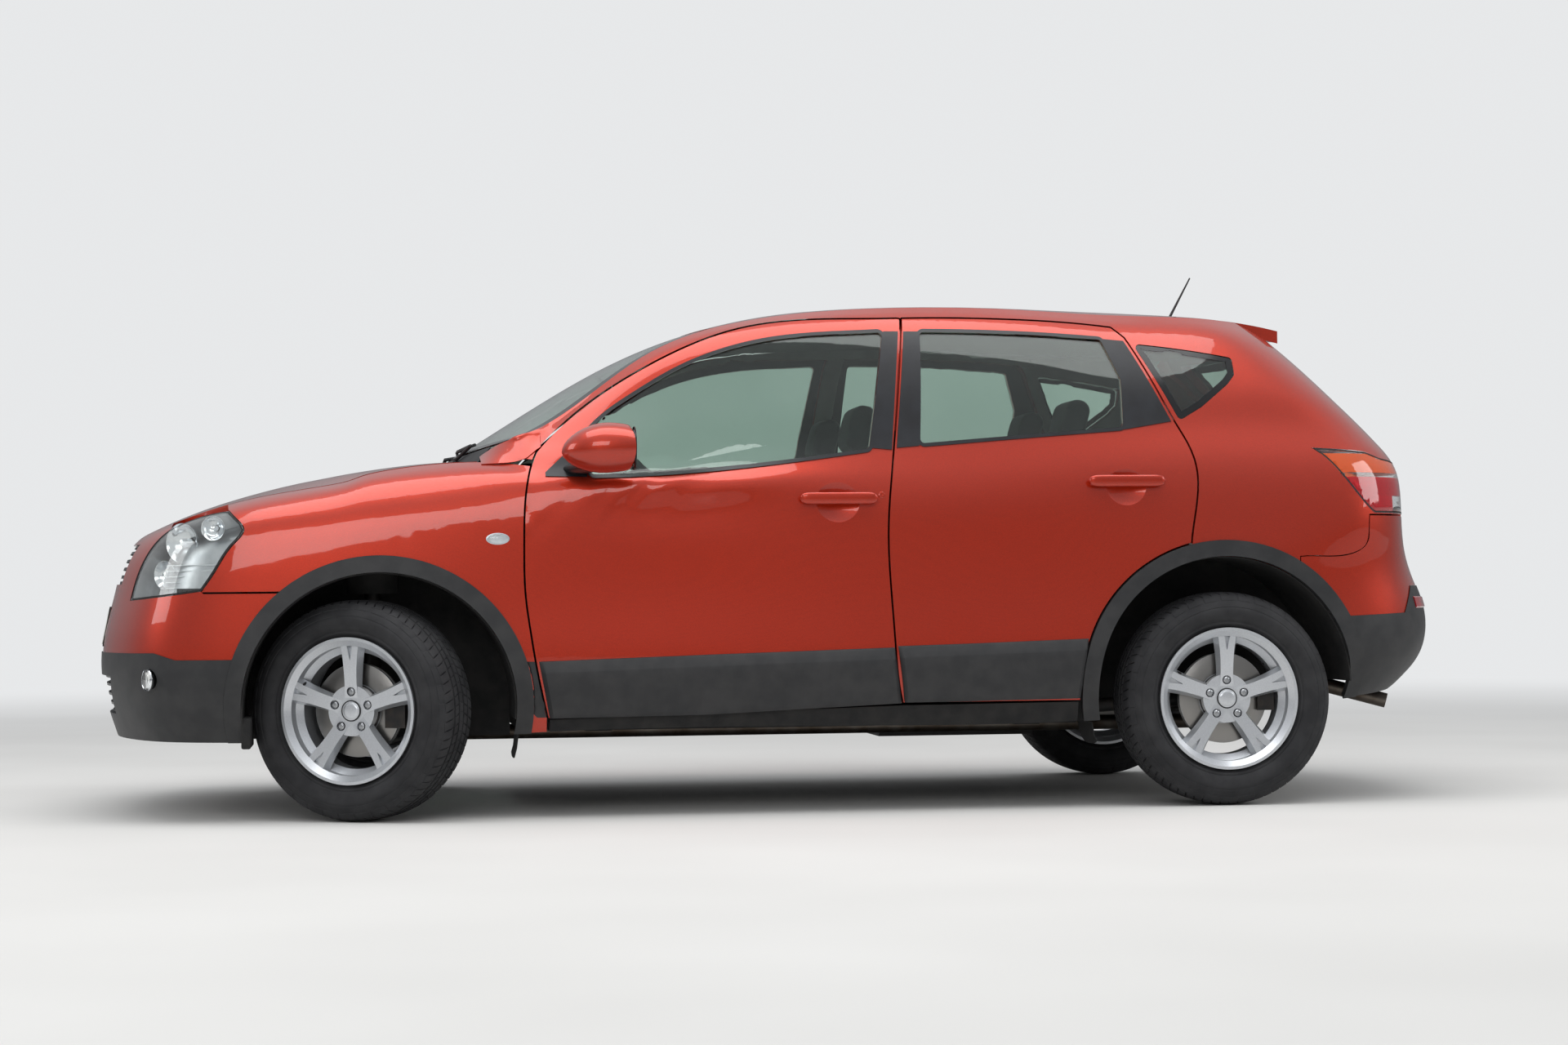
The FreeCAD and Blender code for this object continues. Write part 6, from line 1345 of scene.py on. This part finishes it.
class CROSSOVER_OT_outer_trim(bpy.types.Operator):
    """Blank plates with their holders, the tailgate's bright bar and the door locks"""
    bl_idname = "crossover.outer_trim"
    bl_label = "Build the outer trim"

    def execute(self, context):
        width = context.scene.crossover_look.plate_width
        nose, gate = trees("front_bumper", "front_lower_moulding", "grille"), trees("tailgate")
        for name, tree, end, z, body in (("front_plate", nose, 1, 0.585, "chassis"),
                                         ("rear_plate", gate, -1, 0.865, "tailgate_lid")):
            plate = self.bent(tree, end, z, width / 2, 0.056, 0.0042, 0.0062)
            holder = self.bent(tree, end, z, width / 2 + 0.006, 0.062, -0.004, 0.0040)
            piece(name, *plate, "plate", body, 30)
            piece(name + "_holder", *holder, "smooth_plastic", body, 30)
        rows = []
        for i in range(25):
            y = -0.36 + 0.72 * i / 24
            rows.append([end_point(gate, y, z, -1, lift)[0] for z, lift in (
                (0.962, 0.0005), (0.966, 0.009), (0.978, 0.013), (0.990, 0.009), (0.994, 0.0005))])
        piece("tailgate_bar", *capped(rows), "chrome", "tailgate_lid", 40)
        lock = lathe([(0.0, 0.0012), (0.0045, 0.0016), (0.0085, 0.0020), (0.0100, 0.0012),
                      (0.0105, -0.002)], 32, closed=False)
        for side, sign in SIDES:
            at, normal = side_point(trees("front_door_" + side), -0.238, 0.968, sign)
            turn = normal.to_track_quat("Y", "Z").to_matrix().to_4x4()
            piece("door_lock_" + side, *moved(lock, Matrix.Translation(at) @ turn), "paint",
                          "front_%s_door" % side, 40)
        return {"FINISHED"}

    def bent(self, tree, end, z, half_width, half_height, back, front):
        """Plate that leans and bows with the surface behind it, between two distances off it."""
        rows = []
        for k in range(21):
            y = half_width * (k / 10 - 1)
            low, high = [end * end_point(tree, y, z + dz, end)[0].x for dz in (-0.056, 0.056)]
            rows.append([(end * ((low + high) / 2 + (high - low) / 2 * up + depth), y, z + half_height * up)
                         for depth, up in ((back, -1), (front - 0.0006, -1), (front, -0.98), (front, 0.98),
                                           (front - 0.0006, 1), (back, 1))])
        return capped(rows)


# Plain tone of the backdrop, in linear values
BACKDROP = (0.80, 0.81, 0.82, 1)
# The floor fades to that tone between these distances from the vehicle's middle
FADE_START = 4.5
FADE_END = 13.0
# The photo's camera: place, turns in radians, and focal length in pixels of the photo's width
CAMERA_PLACE = (1.3147, 9.5422, 0.6729)
CAMERA_YAW = -0.1430
CAMERA_PITCH = 0.0242
CAMERA_ROLL = 0.0092
FOCAL_PIXELS = 3533.66
PHOTO_WIDTH = 1920
SENSOR_WIDTH = 36.0
# Lamps: name, place, aim, size in metres and power in watts
SOFTBOXES = (
    ("overhead_softbox", (0.3, 1.5, 6.0), (0, 0, 0.8), (7.0, 4.0), 230),
    ("side_softbox", (2.5, 8.0, 3.6), (0, 0.4, 0.6), (5.0, 2.2), 110),
    ("rear_softbox", (-6.5, 2.5, 3.0), (0, 0, 0.8), (2.5, 2.5), 70),
    ("front_softbox", (7.0, 1.0, 3.0), (0, 0, 0.8), (2.5, 2.5), 60))


def direct_view(tree):
    """One for what the camera sees straight or through glass, and none for light that falls on things."""
    path = node(tree, "ShaderNodeLightPath")
    return node(tree, "ShaderNodeMath", {
        0: path.outputs["Is Camera Ray"], 1: path.outputs["Is Transmission Ray"]}, operation="MAXIMUM")


def stage_material(name, colour, seen):
    """Paper of the studio's floor: lit near the vehicle, and fading to the backdrop's tone further out."""
    made, tree, shader = material(name, colour, 0.95)
    mottled(tree, shader, colour, seen, 1500.0, 2.0)
    place = node(tree, "ShaderNodeTexCoord")
    away = node(tree, "ShaderNodeVectorMath", {0: place.outputs["Object"]}, operation="LENGTH")
    fade = node(tree, "ShaderNodeMapRange", {
        0: away.outputs["Value"], 1: FADE_START, 2: FADE_END}, interpolation_type="SMOOTHSTEP")
    amount = node(tree, "ShaderNodeMath", {
        0: fade.outputs[0], 1: direct_view(tree).outputs[0]}, operation="MULTIPLY")
    plain = node(tree, "ShaderNodeEmission", {"Color": BACKDROP, "Strength": 1.0})
    shown = node(tree, "ShaderNodeMixShader", {
        0: amount.outputs[0], 1: shader.outputs[0], 2: plain.outputs[0]})
    output = next(n for n in tree.nodes if n.type == "OUTPUT_MATERIAL")
    tree.links.new(shown.outputs[0], output.inputs["Surface"])
    return made


class CROSSOVER_OT_stage(bpy.types.Operator):
    """Pale floor, soft lamps, world and camera"""
    bl_idname = "crossover.stage"
    bl_label = "Set up the studio"

    def execute(self, context):
        scene = context.scene
        FINISH["floor"] = stage_material("pale_studio_floor", "#D2D1CE", "#D8D7D4")
        rows = []
        for i in range(25):
            radius = 0.02 + 55 * (i / 24) ** 2.2
            rows.append([(radius * math.cos(a), radius * math.sin(a), -0.0006) for a in turns(72)])
        verts, faces = net(rows, closed_columns=True)
        faces.append(tuple(range(72)))
        piece("studio_floor", verts, faces, "floor", None)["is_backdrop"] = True
        scene.world = self.world()
        for name, at, aim, size, power in SOFTBOXES:
            data = bpy.data.lights.new(name, "AREA")
            data.shape = "RECTANGLE"
            data.size, data.size_y = size
            data.energy = power
            lamp = bpy.data.objects.new(name, data)
            lamp.location = at
            lamp.rotation_euler = (Vector(aim) - Vector(at)).to_track_quat("-Z", "Y").to_euler()
            scene.collection.objects.link(lamp)
        scene.view_settings.view_transform = "Standard"
        # The camera stands to the vehicle's left, ahead of its middle, at a person's waist height
        base = Matrix(((-1, 0, 0), (0, 0, 1), (0, 1, 0))).transposed().to_4x4()
        yaw = Matrix.Rotation(CAMERA_YAW, 4, "Z")
        right = (yaw @ base).to_3x3() @ Vector((1, 0, 0))
        pitch = Matrix.Rotation(CAMERA_PITCH, 4, right)
        ahead = (pitch @ yaw @ base).to_3x3() @ Vector((0, 0, -1))
        roll = Matrix.Rotation(CAMERA_ROLL, 4, ahead)
        data = bpy.data.cameras.new("photo_camera")
        data.sensor_width = SENSOR_WIDTH
        data.lens = FOCAL_PIXELS / PHOTO_WIDTH * SENSOR_WIDTH
        data.clip_end = 200.0
        camera = bpy.data.objects.new("photo_camera", data)
        camera.matrix_world = Matrix.Translation(CAMERA_PLACE) @ (roll @ pitch @ yaw @ base)
        scene.collection.objects.link(camera)
        scene.camera = camera
        return {"FINISHED"}

    def world(self):
        """Room light that brightens towards the ceiling, behind a plain backdrop."""
        made = bpy.data.worlds.new("studio")
        made.use_nodes = True
        tree = made.node_tree
        tree.nodes.clear()
        place = node(tree, "ShaderNodeTexCoord")
        split = node(tree, "ShaderNodeSeparateXYZ", {0: place.outputs["Generated"]})
        rise = node(tree, "ShaderNodeMapRange", {0: split.outputs[2], 1: -0.1, 2: 0.75})
        ramp = node(tree, "ShaderNodeMix", {
            0: rise.outputs[0], 6: (0.12, 0.12, 0.125, 1), 7: (0.92, 0.94, 0.97, 1)}, data_type="RGBA")
        room = node(tree, "ShaderNodeBackground", {"Color": ramp.outputs[2], "Strength": 0.85})
        plain = node(tree, "ShaderNodeBackground", {"Color": BACKDROP, "Strength": 1.0})
        shown = node(tree, "ShaderNodeMixShader", {
            0: direct_view(tree).outputs[0], 1: room.outputs[0], 2: plain.outputs[0]})
        node(tree, "ShaderNodeOutputWorld", {"Surface": shown.outputs[0]})
        return made


class CROSSOVER_PT_sidebar(bpy.types.Panel):
    bl_label = "Crossover"
    bl_idname = "CROSSOVER_PT_sidebar"
    bl_space_type = "VIEW_3D"
    bl_region_type = "UI"
    bl_category = "Crossover"

    def draw(self, context):
        look = context.scene.crossover_look
        for name in ("paint_colour", "groove_depth", "tread_pitches", "lens_wall", "plate_width"):
            self.layout.prop(look, name)
        for step in STEPS:
            self.layout.operator(step.bl_idname)


STEPS = (
    CROSSOVER_OT_panels, CROSSOVER_OT_tyres, CROSSOVER_OT_wheel_fittings, CROSSOVER_OT_headlamps,
    CROSSOVER_OT_tail_lamps, CROSSOVER_OT_small_lamps, CROSSOVER_OT_glazing, CROSSOVER_OT_mirrors,
    CROSSOVER_OT_doors, CROSSOVER_OT_pillar_feet, CROSSOVER_OT_wheel_houses,
    CROSSOVER_OT_seats, CROSSOVER_OT_cabin, CROSSOVER_OT_outer_trim, CROSSOVER_OT_stage)
CLASSES = (CrossoverLook,) + STEPS + (CROSSOVER_PT_sidebar,)


def register():
    for made in CLASSES:
        bpy.utils.register_class(made)
    bpy.types.Scene.crossover_look = bpy.props.PointerProperty(type=CrossoverLook)


def unregister():
    del bpy.types.Scene.crossover_look
    for made in reversed(CLASSES):
        bpy.utils.unregister_class(made)


def main():
    register()
    for step in STEPS:
        group, name = step.bl_idname.split(".")
        getattr(getattr(bpy.ops, group), name)()
    sizes = [[list(map(float, corner)) for corner in box] for box in (CAD_BOX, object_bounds())]


if __name__ == "__main__":
    main()
